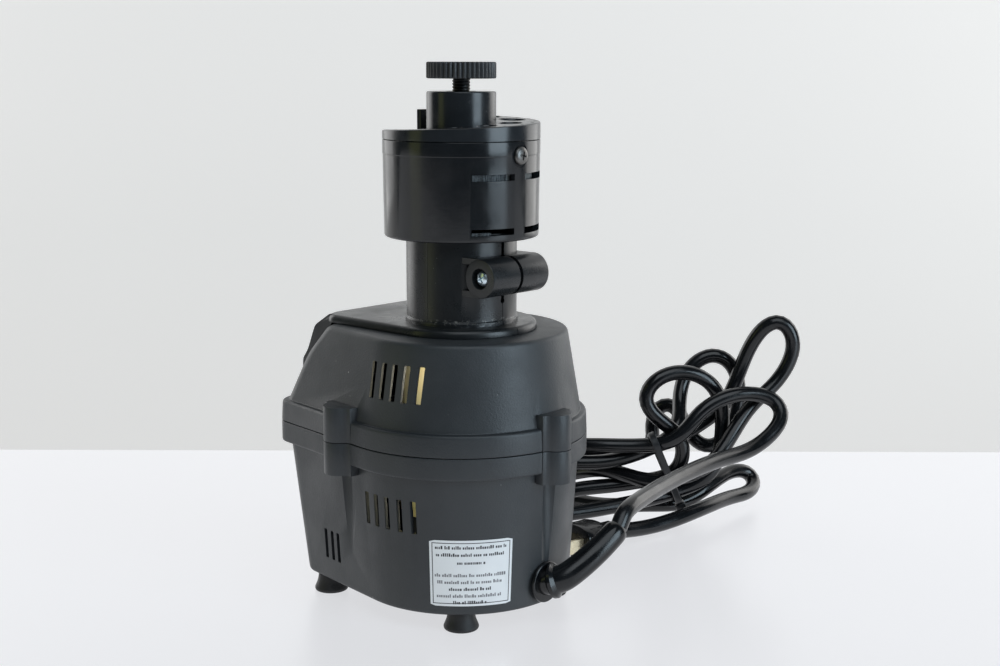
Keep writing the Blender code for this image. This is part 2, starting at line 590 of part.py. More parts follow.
def head_cap(parent, surface):
    boss_low = CAP_LOW - 1.5
    boss = [(9.6, boss_low), (BOSS_RADIUS, boss_low), (BOSS_RADIUS, BOSS_TOP), (6.8, BOSS_TOP), (6.8, 209.4),
            (3.9, 209.4), (3.9, 208.2), (9.6, 208.2)]
    cap = new_piece("head_cap", turned(boss, 32), surface, parent)
    skirt = tube(29.1, 26.4, 186, CAP_LOW + 0.8, 36)
    tab = block((-6.2, -27.6, CAP_LOW + 0.5), (-1.6, -24.9, 207.8))
    fuse(cap, ramp(), skirt, tab)
    guides = [disc(diameter / 2, 180, 212, 12, guide_centre(at)) for at, diameter in GUIDES]
    ways = []
    for angle in SIDE_SCREWS:
        out = (math.cos(math.radians(angle)), math.sin(math.radians(angle)), 0)
        ways.append(lying(disc(1.9, 24, 31, 12), out, (0, 0, SIDE_SCREW_HEIGHT)))
    cut(cap, merged(*guides), merged(*ways))


def head_screws(parent, surface):
    for number, angle in enumerate(SIDE_SCREWS, 1):
        out = (math.cos(math.radians(angle)), math.sin(math.radians(angle)), 0)
        outline = [(0, 27.2), (1.55, 27.2), (1.55, 32.3), (3.6, 32.3), (3.5, 33.2), (2.5, 33.9), (0, 34.2)]
        place = out, (0, 0, SIDE_SCREW_HEIGHT)
        screw = new_piece(f"head_screw_{number}", lying(turned(outline, 14), *place), surface, parent)
        upright = block((-0.5, -2.0, 33.1), (0.5, 2.0, 35))
        across = block((-2.0, -0.5, 33.1), (2.0, 0.5, 35))
        cut(screw, lying(upright, *place), lying(across, *place))


def head_inside(parent, felt, brass, steel):
    new_piece("dust_filter", sector(28.9, 27.3, 178.2, 185.3, 90, 84, 14), felt, parent)
    new_piece("adjuster_insert", tube(6.5, STEM_RADIUS + GAP, 209.8, BOSS_TOP - GAP, 20), brass, parent)
    new_piece("spindle_bush", tube(TUBE_INNER - GAP, 4.4, 150, 158, 28), steel, parent)


def spindle(parent, steel, stone):
    outline = [(0, 137), (2.9, 137), (2.9, 149.4), (4.0, 150.5), (4.0, 170.4), (9, 170.4), (9, 173.6), (4, 173.6),
               (4, 195.4), (5.0, 196.0), (5.0, 203.6), (0, 203.6)]
    new_piece("wheel_spindle", turned(outline, 20), steel, parent)
    wheel = [(4.3, 173.9), (24.2, 173.9), (25.2, 175), (25.2, 180.5), (11.5, 187), (4.3, 187)]
    new_piece("grinding_wheel", turned(wheel, 32), stone, parent)
    nut = new_piece("wheel_nut", prism(polygon(7.5, 6), 187.3, 191.5), steel, parent)
    cut(nut, disc(4.3, 180, 195, 20))


def adjuster(quill_parent, knob_parent, steel, plastic, stem_surface):
    outline = [(5.3, 192.6), (8.8, 192.6), (8.8, 205.2), (0, 205.2), (0, 203.9), (5.3, 203.9)]
    new_piece("spindle_quill", turned(outline, 24), steel, quill_parent)
    new_piece("adjust_stem", disc(STEM_RADIUS, 205.5, 224.6, 16), stem_surface, knob_parent)
    knob_outline = []
    for i in range(KNOB_FLUTES * 2):
        angle = math.pi * i / KNOB_FLUTES
        radius = KNOB_RADIUS - (i % 2) * 0.8
        knob_outline.append((radius * math.cos(angle), radius * math.sin(angle)))
    knob = new_piece("adjust_knob", prism(knob_outline, KNOB_LOW, KNOB_TOP), plastic, knob_parent)
    cut(knob, disc(STEM_RADIUS + GAP, KNOB_LOW - 2, 224.9, 16))


# ---------------------------------------------------------------- cord


def strain_relief(parent, surface):
    path = smooth_path(RELIEF_PATH, 4.0)
    count = len(path)
    radii = []
    for i in range(count):
        share = i / (count - 1)
        radii.append(5.9 - 0.8 * share)
    radii[-1] = radii[-2] = 6.6
    piece = new_piece("strain_relief", swept(path, radii, 14), surface, parent)
    flange = lying(disc(8.6, 0, 1.8, 20), (0, 1, 0), (0, wall_radius(RELIEF_PATH[0][2]) + 0.6, RELIEF_PATH[0][2]))
    fuse(piece, flange)


def cord_path():
    """The cord's centreline. Strands that the route brings too close are eased a diameter apart."""
    home = smooth_path(CORD_ROUTE, 7.0)
    path = home.copy()
    index = np.arange(len(home))
    apart = np.abs(index[:, None] - index[None, :]) > 4
    held = 3
    for _ in range(300):
        between = path[:, None] - path[None]
        distance = np.linalg.norm(between, axis=2) + 1e-9
        push = np.where(apart, np.clip(CORD_CLEAR - distance, 0, None), 0)
        moved = path + 0.3 * (between / distance[..., None] * push[..., None]).sum(axis=1) - home
        for _ in range(2):
            moved[1:-1] += 0.35 * ((moved[:-2] + moved[2:]) / 2 - moved[1:-1])
        moved *= 0.998
        moved[:held] = moved[-held:] = 0
        path = home + moved
        path[:, 2] = np.maximum(path[:, 2], CORD_DIAMETER / 2 + 0.2)
        plan = np.hypot(path[:, 0], path[:, 1])
        inside = plan < CORD_KEEP_OUT
        inside[:held + 3] = False
        path[inside, :2] *= (CORD_KEEP_OUT / plan[inside])[:, None]
    length = np.linalg.norm(np.diff(path, axis=0), axis=1).sum()
    return smooth_path(path, length / (CORD_POINTS - 1))


def power_cord(parent, surface, path):
    data = bpy.data.curves.new("power_cord", "CURVE")
    data.dimensions = "3D"
    data.bevel_depth = CORD_DIAMETER / 2 * MM
    data.bevel_resolution = 2
    data.use_fill_caps = True
    data.materials.append(surface)
    spline = data.splines.new("POLY")
    spline.points.add(len(path) - 1)
    for point, place in zip(spline.points, path):
        point.co = (*(place * MM), 1.0)
    cord = bpy.data.objects.new("power_cord", data)
    cord.parent = parent
    bpy.context.scene.collection.objects.link(cord)


def tie_loop(path, across, over, axis):
    """The strap's loop in its own plane: the hull of the strands that it holds, `TIE_CLEAR` outside them."""
    centre = Vector(TIE_CENTRE)
    rims = []
    for here, there in zip(path, path[1:]):
        before, after = (Vector(here) - centre).dot(axis), (Vector(there) - centre).dot(axis)
        if before * after > 0:
            continue
        crossing = Vector(here).lerp(Vector(there), before / (before - after)) - centre
        if crossing.length < TIE_REACH:
            rims += polygon(TIE_CLEAR, 16, (crossing.dot(across), crossing.dot(over)))
    return [Vector(rims[i]) for i in geometry.convex_hull_2d([Vector(point) for point in rims])]


def cord_tie(parent, surface, path):
    """A strap that runs all round the bundle."""
    axis = Vector(TIE_AXIS).normalized()
    across = Vector((0, 0, 1)).cross(axis).normalized()
    over = axis.cross(across)
    loop = tie_loop(path, across, over, axis)
    middle = sum(loop, Vector((0, 0))) / len(loop)
    mesh = bmesh.new()
    rings = []
    for i, point in enumerate(loop):
        along = loop[(i + 1) % len(loop)] - loop[i - 1]
        out = Vector((along.y, -along.x)).normalized()
        if out.dot(point - middle) < 0:
            out = -out
        corners = []
        for lift, side in ((0, -1), (TIE_THICK, -1), (TIE_THICK, 1), (0, 1)):
            x, y = point + lift * out
            place = Vector(TIE_CENTRE) + x * across + y * over + side * TIE_HALF_WIDTH * axis
            corners.append(mesh.verts.new(place))
        rings.append(corners)
    for here, there in zip(rings, rings[1:] + rings[:1]):
        for j in range(4):
            k = (j + 1) % 4
            mesh.faces.new((here[j], there[j], there[k], here[k]))
    new_piece("cord_tie", mesh, surface, parent)


def plug(parent, surface, brass):
    axis = Vector(PLUG_AXIS).normalized()
    side = Vector((0, 0, 1)).cross(axis)
    up = axis.cross(side)

    def section(along, half_width, half_height, power=2.6):
        ring = []
        for i in range(20):
            angle = 2 * math.pi * i / 20
            c, s = math.cos(angle), math.sin(angle)
            x = half_width * math.copysign(abs(c) ** (2 / power), c)
            y = half_height * math.copysign(abs(s) ** (2 / power), s)
            ring.append(Vector(PLUG_TAIL) + along * axis + x * side + y * up)
        return ring

    body = loft([
        section(0, 4.6, 4.6, 2), section(7, 5.4, 5.4, 2), section(9, 9.6, 7.0), section(12, PLUG_HALF_WIDTH - 0.5, 7.8),
        section(PLUG_LENGTH - 1, PLUG_HALF_WIDTH, PLUG_HALF_HEIGHT), section(PLUG_LENGTH, PLUG_HALF_WIDTH - 1, 7.0),
    ])
    new_piece("plug_body", body, surface, parent)
    for number, offset in enumerate((-BLADE_HALF_SPACING, BLADE_HALF_SPACING), 1):
        blade = block((-0.75, -3.15, 0), (0.75, 3.15, BLADE_LENGTH))
        for vert in blade.verts:
            x, y, z = vert.co
            vert.co = Vector(PLUG_TAIL) + (PLUG_LENGTH + GAP + z) * axis + (offset + x) * side + y * up
        new_piece(f"plug_blade_{number}", blade, brass, parent)


def main():
    clear_scene()
    black = material("housing_black", (0.030, 0.031, 0.033), 0.62)
    gloss = material("neck_black", (0.016, 0.016, 0.017), 0.28)
    rubber = material("rubber", (0.02, 0.02, 0.02), 0.8)
    cord_black = material("cord_pvc", (0.018, 0.019, 0.021), 0.35)
    zinc = material("zinc", (0.62, 0.52, 0.28), 0.35, 1.0)
    steel = material("steel", (0.6, 0.6, 0.6), 0.35, 1.0)
    brass = material("brass", (0.75, 0.58, 0.3), 0.35, 1.0)
    magnet = material("magnet", (0.12, 0.12, 0.12), 0.7)
    carbon = material("carbon", (0.03, 0.03, 0.03), 0.7)
    board = material("board", (0.05, 0.2, 0.08), 0.5)
    copper = material("copper", (0.7, 0.35, 0.2), 0.35, 1.0)
    stone = material("stone", (0.45, 0.45, 0.43), 0.9)
    felt = material("felt", (0.2, 0.2, 0.2), 0.95)
    nylon = material("nylon", (0.75, 0.74, 0.7), 0.5)
    paper = material("paper", (0.85, 0.86, 0.85), 0.55)

    machine = empty("machine", (0, NECK_Y, 0))
    rotor_axis = empty("rotor_axis", parent=machine)
    head_lift = empty("head_lift_axis", parent=machine)
    head_axis = empty("head_swivel_axis", parent=head_lift)
    quill_axis = empty("quill_axis", parent=head_axis)
    knob_axis = empty("knob_axis", parent=quill_axis)
    wheel_axis = empty("wheel_axis", parent=quill_axis)
    rocker_axis = empty("rocker_axis", (0, BEZEL_FRONT, SWITCH_HEIGHT), machine)

    lower_housing(machine, black)
    upper_housing(machine, black)
    neck_bracket(machine, gloss)
    clamp_screw(machine, steel)
    clamp_nut(machine, steel)
    feet(machine, rubber)
    housing_screws(machine, steel)
    notice_label(machine, paper)
    motor_frame(machine, zinc, steel, magnet, carbon, board)
    rotor(rotor_axis, steel, magnet, copper, black)
    switch(machine, rocker_axis, black, gloss)
    neck_liner(head_lift, nylon)
    head_housing(head_axis, gloss)
    head_cap(head_axis, gloss)
    head_screws(head_axis, steel)
    head_inside(head_axis, felt, brass, brass)
    spindle(wheel_axis, steel, stone)
    adjuster(quill_axis, knob_axis, steel, gloss, steel)
    strain_relief(machine, cord_black)
    path = cord_path()
    power_cord(machine, cord_black, path)
    cord_tie(machine, cord_black, path)
    plug(machine, cord_black, brass)


main()
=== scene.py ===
"""A bench-top drill-bit sharpener on a pale table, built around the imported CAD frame.

Shapes are written in millimetres from the neck's axis, heights above the table, with +Y towards the cord
and +X towards the side with the notice. new_piece() moves them into the frame, in metres.
"""

import json
import math
import random

import bmesh
import bpy
import numpy as np
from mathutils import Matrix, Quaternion, Vector, geometry


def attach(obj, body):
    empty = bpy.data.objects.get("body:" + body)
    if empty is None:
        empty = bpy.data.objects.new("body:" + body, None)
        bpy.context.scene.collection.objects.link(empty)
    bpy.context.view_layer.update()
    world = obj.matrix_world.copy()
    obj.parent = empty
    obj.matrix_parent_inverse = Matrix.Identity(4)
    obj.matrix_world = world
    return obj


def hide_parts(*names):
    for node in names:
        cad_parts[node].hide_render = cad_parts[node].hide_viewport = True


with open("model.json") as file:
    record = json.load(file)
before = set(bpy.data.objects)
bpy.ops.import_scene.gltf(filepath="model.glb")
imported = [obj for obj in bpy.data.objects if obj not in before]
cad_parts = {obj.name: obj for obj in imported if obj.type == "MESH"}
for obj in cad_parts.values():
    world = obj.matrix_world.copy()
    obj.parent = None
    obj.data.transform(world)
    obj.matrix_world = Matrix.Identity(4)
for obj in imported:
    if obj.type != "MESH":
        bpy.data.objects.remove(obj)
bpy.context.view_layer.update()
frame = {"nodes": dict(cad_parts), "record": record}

MM = 0.001
NECK_Y = 6.65
# The base: heights, the two shells' gap, walls, and each boss's centre, radius, outward direction and wall.
BASE_BOTTOM, PARTING, SHOULDER, BAND_HALF, GAP = 7.8, 74.7, 118.3, 9.1, 0.16
BAND_LOW, BAND_HIGH = PARTING - BAND_HALF, PARTING + BAND_HALF
WALL, CORNER, TAPER = 2.8, 9.0, 8.5
BOSSES = (((49.5, -22.3), 6.5, (0.989, -0.148), 0.64), ((-49.5, -22.3), 6.5, (-0.989, -0.148), 0.64),
          ((0.0, 52.0), 6.2, (0, 1), 0.6), ((0.0, -64.0), 6.2, (0, -1), 6.1))
BOSS_LOW, BOSS_HIGH = 61.0, 89.3
FEET = ((28.0, 26.0), (-28.0, 26.0), (32.4, -48.1), (-32.4, -48.1))
# Vents: the slots' places along Y, their width and their two heights.
UPPER_VENTS = ((18.2, 12.4, 6.9, 1.3, -4.5), 2.7, 94.7, 109.4)
LOWER_VENTS = ((16.3, 10.2, 4.0, -2.0, -7.8), 2.5, 41.6, 55.2)
FRONT_VENTS = ((-31.8, -36.2, -40.9), 2.1, 17.9, 31.0)
PAD_TOP = 121.7
PANEL_FRONT, BEZEL_FRONT = -68.3, -69.9
SWITCH_HEIGHT, SWITCH_HALF_WIDTH, SWITCH_HALF_HEIGHT = 95.2, 9.5, 4.1
NECK_RADIUS, NECK_BORE, NECK_TOP = 23.0, 19.5, 156.4
LUG_Y, LUG_HEIGHT, LUG_RADIUS, LUG_END = 25.7, 142.4, 7.9, 16.7
# The head and its cap. Each guide hole has its degrees round the ramp and its diameter.
HEAD_LOW, HEAD_TOP, HEAD_RADIUS = 156.7, 196.4, 32.5
CAP_LOW, RAMP_LOW, RAMP_RISE, RAMP_START = 196.7, 198.5, 7.2, 233.5
BOSS_RADIUS, BOSS_TOP = 14.3, 215.7
GUIDES = ((36, 3.2), (66, 4.0), (97, 4.8), (129, 5.6), (163, 6.4), (197, 7.9), (234, 9.5), (276, 11.1),
          (321, 12.7))
SIDE_SCREWS, SIDE_SCREW_HEIGHT = (90.0, 270.0), 190.8
KNOB_RADIUS, KNOB_LOW, KNOB_TOP, KNOB_FLUTES = 14.35, 220.8, 227.5, 44
STEM_RADIUS, THREAD_PITCH = 3.7, 1.25
CORD_DIAMETER = 7.4
RELIEF_PATH = ((0, 41, 17.5), (0, 48, 17.8), (-2.5, 54, 19.8), (-8, 58, 24), (-15.5, 61.7, 30),
               (-22.2, 63.6, 35), (-25.7, 63.7, 36.9))
CORD_ROUTE = (
    # Out of the strain relief, round the front loop and back to the tie.
    (-26.8, 63.8, 37.6), (-37, 62, 44), (-83, 51, 44), (-121, 47, 44), (-153, 48, 44), (-174, 50, 53),
    (-181, 45, 61), (-174, 36, 65), (-162, 27, 64), (-151, 18, 56), (-142, 11, 41), (-133, -5, 36),
    (-120, -21, 35),
    # Behind the base and back.
    (-104, -47, 32), (-95, -71, 24), (-107, -82, 16), (-123, -65, 12), (-129, -27, 25), (-136, -2, 21),
    # The tallest loop.
    (-146, 16, 26), (-155, 24, 33), (-177, 29, 58), (-188, 35, 67), (-195, 40, 79), (-197, 42, 92),
    (-192, 36, 103), (-187, 28, 97), (-184, 22, 85), (-182, 18, 72), (-176, 14, 57), (-160, 5, 46),
    (-150, -5, 38),
    # Behind the base again, then the small inner loop.
    (-136, -19, 33), (-120, -45, 30), (-114, -69, 28), (-121, -84, 24), (-141, -78, 18), (-153, -57, 17),
    (-167, -22, 29), (-166, -23, 42), (-168, -20, 52), (-171, -15, 55), (-172, -8, 51), (-169, -1, 41),
    # The middle loop.
    (-173, 8, 32), (-183, 15, 38), (-188, 18, 55), (-187, 17, 73), (-180, 9, 81), (-173, 2, 76),
    (-169, -2, 68), (-163, 1, 56), (-152, 9, 45), (-143, 0, 37),
    # Close behind the base and back.
    (-126, -15, 31), (-107, -33, 34), (-89, -46, 36), (-72, -52, 30), (-68, -45, 20), (-84, -30, 14),
    (-111, -14, 16), (-151, 9, 25),
    # The wide loop on the left.
    (-161, 19, 33), (-169, 18, 55), (-165, 18, 69), (-158, 13, 77), (-148, 5, 79), (-139, -1, 75),
    (-134, -5, 65), (-137, -1, 57), (-143, 5, 50), (-147, 12, 44), (-147, 10, 26), (-137, -9, 22),
    # Down to the table behind the base, and along it to the small loop on the right.
    (-117, -28, 20), (-103, -48, 12), (-105, -67, 7), (-122, -69, 5), (-133, -52, 4), (-134, -28, 5),
    (-144, -5, 8), (-158, 4, 7), (-174, 9, 14), (-193, 8, 17), (-206, 11, 17), (-208, 16, 11),
    (-195, 20, 8),
    # Back along the table to the plug.
    (-178, 19, 9), (-151, 20, 9), (-132, 17, 7), (-117, 13, 6), (-106, 11, 7), (-94.4, 9, 8.4),
)
# How far apart the cord's strands keep, and how far they keep from the neck's axis.
STRAND_GAP, BASE_CLEARANCE = 9.6, 63.0
TIE_CENTRE, TIE_AXIS = (-144.7, 0.4, 31.4), (-0.59, 0.62, 0.36)
TIE_REACH, TIE_CLEAR, TIE_THICK, TIE_HALF_WIDTH = 22.0, 5.2, 1.3, 1.7
PLUG_TAIL, PLUG_AXIS, PLUG_LENGTH = (-94, 9, 8.4), (0.985, -0.17, 0.0), 24.0
X, Y, Z = (1, 0, 0), (0, 1, 0), (0, 0, 1)


# ---------------------------------------------------------------- materials


class Nodes:
    """A material's node tree, with its Principled shader."""

    def __init__(self, name):
        self.material = bpy.data.materials.new(name)
        self.material.use_nodes = True
        self.tree = self.material.node_tree
        self.shader = self.tree.nodes["Principled BSDF"]
        self.place = self.add("ShaderNodeTexCoord").outputs["Object"]

    def add(self, kind, **inputs):
        node = self.tree.nodes.new(kind)
        for name, value in inputs.items():
            self.give(node, name.replace("_", " "), value)
        return node

    def give(self, node, name, value):
        if isinstance(value, bpy.types.NodeSocket):
            self.tree.links.new(value, node.inputs[name])
        else:
            node.inputs[name].default_value = value

    def math(self, operation, a, b):
        node = self.add("ShaderNodeMath")
        node.operation = operation
        self.give(node, 0, a)
        self.give(node, 1, b)
        return node.outputs[0]

    def stretched(self, scale):
        return self.add("ShaderNodeMapping", Scale=scale, Vector=self.place).outputs[0]

    def noise(self, scale, detail=3.0, roughness=0.5, place=None):
        node = self.add("ShaderNodeTexNoise", Scale=scale, Detail=detail, Roughness=roughness,
                        Vector=place or self.place)
        return node.outputs["Fac"]

    def span(self, value, low, high, to_low=0.0, to_high=1.0):
        node = self.add("ShaderNodeMapRange")
        node.interpolation_type = "SMOOTHSTEP"
        sockets = ("Value", "From Min", "From Max", "To Min", "To Max")
        for name, number in zip(sockets, (value, low, high, to_low, to_high)):
            self.give(node, name, number)
        return node.outputs[0]

    def mix(self, share, first, second):
        node = self.add("ShaderNodeMix")
        node.data_type = "RGBA"
        self.give(node, 0, share)
        for socket, value in ((6, first), (7, second)):
            self.give(node, socket, (*value, 1.0) if isinstance(value, tuple) else value)
        return node.outputs[2]

    def over(self, under, mask, strength, color):
        """Lays a colour over another one where the mask is, at that strength."""
        return self.mix(self.math("MULTIPLY", mask, strength), under, color)

    def specks(self, scale, size, share):
        """Scattered small spots, `size` of a cell across, in that share of the cells."""
        cells = self.add("ShaderNodeTexVoronoi", Scale=scale, Vector=self.place)
        dots = self.span(cells.outputs["Distance"], size * 0.5, size, 1.0, 0.0)
        split = self.add("ShaderNodeSeparateColor", Color=cells.outputs["Color"])
        return self.math("MULTIPLY", dots, self.math("LESS_THAN", split.outputs[0], share))

    def near(self, point, radius):
        """1 within `radius` of a point in millimetres, with a broken edge."""
        node = self.add("ShaderNodeVectorMath")
        node.operation = "DISTANCE"
        self.give(node, 0, self.place)
        self.give(node, 1, tuple(to_frame(point)))
        wander = self.math("MULTIPLY", self.noise(900.0), radius * MM)
        ragged = self.math("ADD", node.outputs["Value"], wander)
        return self.span(ragged, radius * MM * 0.9, radius * MM * 1.5, 1.0, 0.0)

    def bump(self, height, distance, strength, under=None):
        node = self.add("ShaderNodeBump", Strength=strength, Distance=distance, Height=height)
        if under:
            self.give(node, "Normal", under)
        return node.outputs[0]

    def end(self, color, roughness, normal=None, **sockets):
        self.give(self.shader, "Base Color", (*color, 1.0) if isinstance(color, tuple) else color)
        self.give(self.shader, "Roughness", roughness)
        if normal:
            self.give(self.shader, "Normal", normal)
        for name, value in sockets.items():
            self.give(self.shader, name.replace("_", " "), value)
        return self.material


def to_frame(point):
    return Vector((point[0], point[1] + NECK_Y, point[2])) * MM


def scaled(color, by):
    return tuple(min(1.0, c * by) for c in color)


def spark_plastic():
    """The shells: charcoal plastic with a fine spark-eroded grain, dust, and a few chips and scuffs."""
    n = Nodes("spark_plastic")
    patches = n.span(n.noise(28.0, 4.0, 0.6), 0.3, 0.7)
    color = n.mix(patches, (0.0215, 0.0255, 0.0295), (0.030, 0.0345, 0.0385))
    grime = n.span(n.noise(11.0, 6.0, 0.65), 0.55, 0.8)
    color = n.over(color, grime, 0.22, (0.075, 0.072, 0.062))
    color = n.over(color, n.specks(260.0, 0.06, 0.10), 0.7, (0.26, 0.26, 0.245))
    color = n.over(color, n.specks(90.0, 0.045, 0.06), 0.9, (0.42, 0.42, 0.39))
    chips = None
    for point, radius in CHIPS:
        chip = n.near(point, radius)
        chips = chip if chips is None else n.math("MAXIMUM", chips, chip)
    color = n.over(color, chips, 0.75, (0.22, 0.215, 0.20))
    normal = n.bump(n.noise(1150.0, 3.0, 0.65), 0.00013, 0.75)
    normal = n.bump(n.noise(60.0, 2.0), 0.0003, 0.12, normal)
    shine = n.span(n.noise(70.0, 5.0, 0.6), 0.25, 0.75, 0.40, 0.50)
    return n.end(color, shine, normal, Specular_IOR_Level=0.55)


def glossy_plastic(name, color, roughness, dust_line=None):
    """The neck, head and cap: smooth black plastic with faint flow marks, fine dust and handling marks."""
    n = Nodes(name)
    tint = n.mix(n.span(n.noise(35.0, 4.0, 0.6), 0.3, 0.7), scaled(color, 0.8), scaled(color, 1.3))
    tint = n.over(tint, n.specks(230.0, 0.055, 0.12), 0.6, (0.24, 0.235, 0.215))
    tint = n.over(tint, n.specks(80.0, 0.035, 0.08), 0.8, (0.34, 0.33, 0.30))
    lines = n.noise(1.0, 3.0, 0.7, n.stretched((160.0, 160.0, 1500.0)))
    if dust_line:
        low, high = (value * MM for value in dust_line)
        height = n.add("ShaderNodeSeparateXYZ", Vector=n.place).outputs["Z"]
        above, below = n.span(height, low - 0.0003, low), n.span(height, high, high + 0.0004, 1.0, 0.0)
        belt = n.math("MULTIPLY", above, below)
        dusty = n.math("MULTIPLY", belt, n.span(n.noise(700.0, 4.0, 0.7), 0.52, 0.68))
        tint = n.over(tint, dusty, 0.55, (0.25, 0.24, 0.22))
    shine = n.span(n.noise(55.0, 6.0, 0.7), 0.3, 0.75, roughness - 0.05, roughness + 0.09)
    normal = n.bump(lines, 0.00002, 0.35)
    normal = n.bump(n.noise(95.0, 2.0, 0.5), 0.00022, 0.16, normal)
    return n.end(tint, shine, normal, Specular_IOR_Level=0.5)


def soft_black(name, color, roughness, grain=1400.0, depth=0.00004, dust=0.05):
    """Rubber, cord jacket and small moulded parts."""
    n = Nodes(name)
    tint = n.mix(n.span(n.noise(60.0, 4.0), 0.3, 0.7), scaled(color, 0.75), scaled(color, 1.25))
    tint = n.over(tint, n.specks(420.0, 0.07, dust), 0.6, (0.25, 0.25, 0.23))
    shine = n.span(n.noise(120.0, 4.0), 0.3, 0.7, roughness - 0.06, roughness + 0.06)
    return n.end(tint, shine, n.bump(n.noise(grain, 2.0), depth, 0.4))


def metal(name, color, roughness, stretch=(1.0, 1.0, 1.0), stain=0.12):
    """Bare or plated metal: fine lines, drawn out by `stretch`, and darker stains."""
    n = Nodes(name)
    lines = n.noise(900.0, 4.0, 0.6, n.stretched(stretch))
    tint = n.mix(n.span(lines, 0.3, 0.7), scaled(color, 0.86), scaled(color, 1.08))
    tint = n.over(tint, n.span(n.noise(160.0, 5.0, 0.7), 0.55, 0.75), stain, scaled(color, 0.35))
    shine = n.span(n.noise(300.0, 4.0), 0.3, 0.7, roughness - 0.06, roughness + 0.1)
    return n.end(tint, shine, n.bump(lines, 0.00002, 0.5), Metallic=1.0)


def zinc_gold():
    """The motor can's yellow chromate, which shifts between gold, green and a little pink."""
    n = Nodes("zinc_gold")
    drift = n.noise(38.0, 3.0, 0.55, n.stretched((1.0, 1.0, 0.5)))
    tint = n.mix(n.span(drift, 0.35, 0.62), (0.62, 0.62, 0.30), (0.86, 0.66, 0.30))
    tint = n.mix(n.span(n.noise(24.0, 2.0), 0.5, 0.75), tint, (0.86, 0.80, 0.62))
    normal = n.bump(n.noise(500.0, 3.0, 0.6), 0.00002, 0.4)
    return n.end(tint, n.span(n.noise(200.0), 0.3, 0.7, 0.44, 0.58), normal, Metallic=0.4)


def rough_solid(name, color, roughness, grain, depth, vary=0.35):
    """Felt, abrasive, magnets and other matt solids."""
    n = Nodes(name)
    noise = n.noise(grain, 5.0, 0.7)
    tint = n.mix(n.span(noise, 0.25, 0.75), scaled(color, 1 - vary), scaled(color, 1 + vary))
    return n.end(tint, n.span(noise, 0.2, 0.8, roughness - 0.05, roughness + 0.05), n.bump(noise, depth, 0.7))


def paper():
    n = Nodes("label_paper")
    tint = n.mix(n.span(n.noise(70.0, 5.0), 0.35, 0.75), (0.80, 0.82, 0.835), (0.86, 0.875, 0.885))
    tint = n.over(tint, n.span(n.noise(210.0, 6.0, 0.7), 0.62, 0.78), 0.25, (0.62, 0.58, 0.48))
    return n.end(tint, n.span(n.noise(150.0), 0.3, 0.7, 0.36, 0.46), n.bump(n.noise(1600.0), 0.00002, 0.3))


def ink(name, color):
    n = Nodes(name)
    tint = n.mix(n.span(n.noise(1500.0, 3.0), 0.35, 0.7), color, scaled(color, 1.6))
    return n.end(tint, n.span(n.noise(150.0), 0.3, 0.7, 0.4, 0.5))


# ---------------------------------------------------------------- shapes


def linked(name, data):
    made = bpy.data.objects.new(name, data)
    bpy.context.scene.collection.objects.link(made)
    return made


def new_piece(name, mesh, surface, smooth=32.0):
    """An object from a bmesh in millimetres."""
    for vert in mesh.verts:
        vert.co = to_frame(vert.co)
    bmesh.ops.triangulate(mesh, faces=[face for face in mesh.faces if len(face.verts) > 4])
    bmesh.ops.recalc_face_normals(mesh, faces=mesh.faces)
    data = bpy.data.meshes.new(name)
    mesh.to_mesh(data)
    mesh.free()
    if surface:
        data.materials.append(surface)
    made = linked(name, data)
    made["smooth"] = math.radians(smooth)
    return made


def boolean(obj, operation, *meshes, solver="EXACT"):
    """Runs a Boolean with each helper mesh or object, and leaves the result in the object."""
    for mesh in meshes:
        helper = mesh if isinstance(mesh, bpy.types.Object) else new_piece("helper", mesh, None)
        modifier = obj.modifiers.new("Boolean", "BOOLEAN")
        modifier.operation, modifier.solver, modifier.object = operation, solver, helper
        settle(obj)
        bpy.data.objects.remove(helper)
    return obj


def settle(obj):
    """Applies the object's modifiers."""
    graph = bpy.context.evaluated_depsgraph_get()
    data = bpy.data.meshes.new_from_object(obj.evaluated_get(graph))
    old = obj.data
    obj.modifiers.clear()
    obj.data = data
    data.name = obj.name
    if old.users == 0:
        bpy.data.meshes.remove(old)


def cut(obj, *meshes, **more):
    return boolean(obj, "DIFFERENCE", *meshes, **more)


def fuse(obj, *meshes, **more):
    return boolean(obj, "UNION", *meshes, **more)


def place(obj, body, slot, *nodes):
    """Shades the piece, rides it on its body and hides the CAD nodes that it stands for."""
    obj.data.shade_smooth()
    obj.data.set_sharp_from_angle(angle=obj["smooth"])
    del obj["smooth"]
    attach(obj, body)
    if nodes:
        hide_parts(*nodes)
    return obj


def soften(obj, width, segments, angle=40.0):
    """Rounds the edges sharper than `angle`."""
    modifier = obj.modifiers.new("Bevel", "BEVEL")
    modifier.width, modifier.segments = width * MM, segments
    modifier.limit_method, modifier.angle_limit = "ANGLE", math.radians(angle)
    settle(obj)
    return obj


def merged(*meshes):
    result = bmesh.new()
    for mesh in meshes:
        data = bpy.data.meshes.new("part")
        mesh.to_mesh(data)
        result.from_mesh(data)
        mesh.free()
        bpy.data.meshes.remove(data)
    return result


def loft(sections):
    """A solid through rings of equally many points."""
    mesh = bmesh.new()
    rings = [[mesh.verts.new(point) for point in section] for section in sections]
    for low, high in zip(rings, rings[1:]):
        for i in range(len(low)):
            j = (i + 1) % len(low)
            mesh.faces.new((low[i], low[j], high[j], high[i]))
    mesh.faces.new(reversed(rings[0]))
    mesh.faces.new(rings[-1])
    bmesh.ops.recalc_face_normals(mesh, faces=mesh.faces)
    return mesh


def around(radius, angle, *height):
    """A point on a circle about the neck's axis, at an angle in radians."""
    return radius * math.cos(angle), radius * math.sin(angle), *height


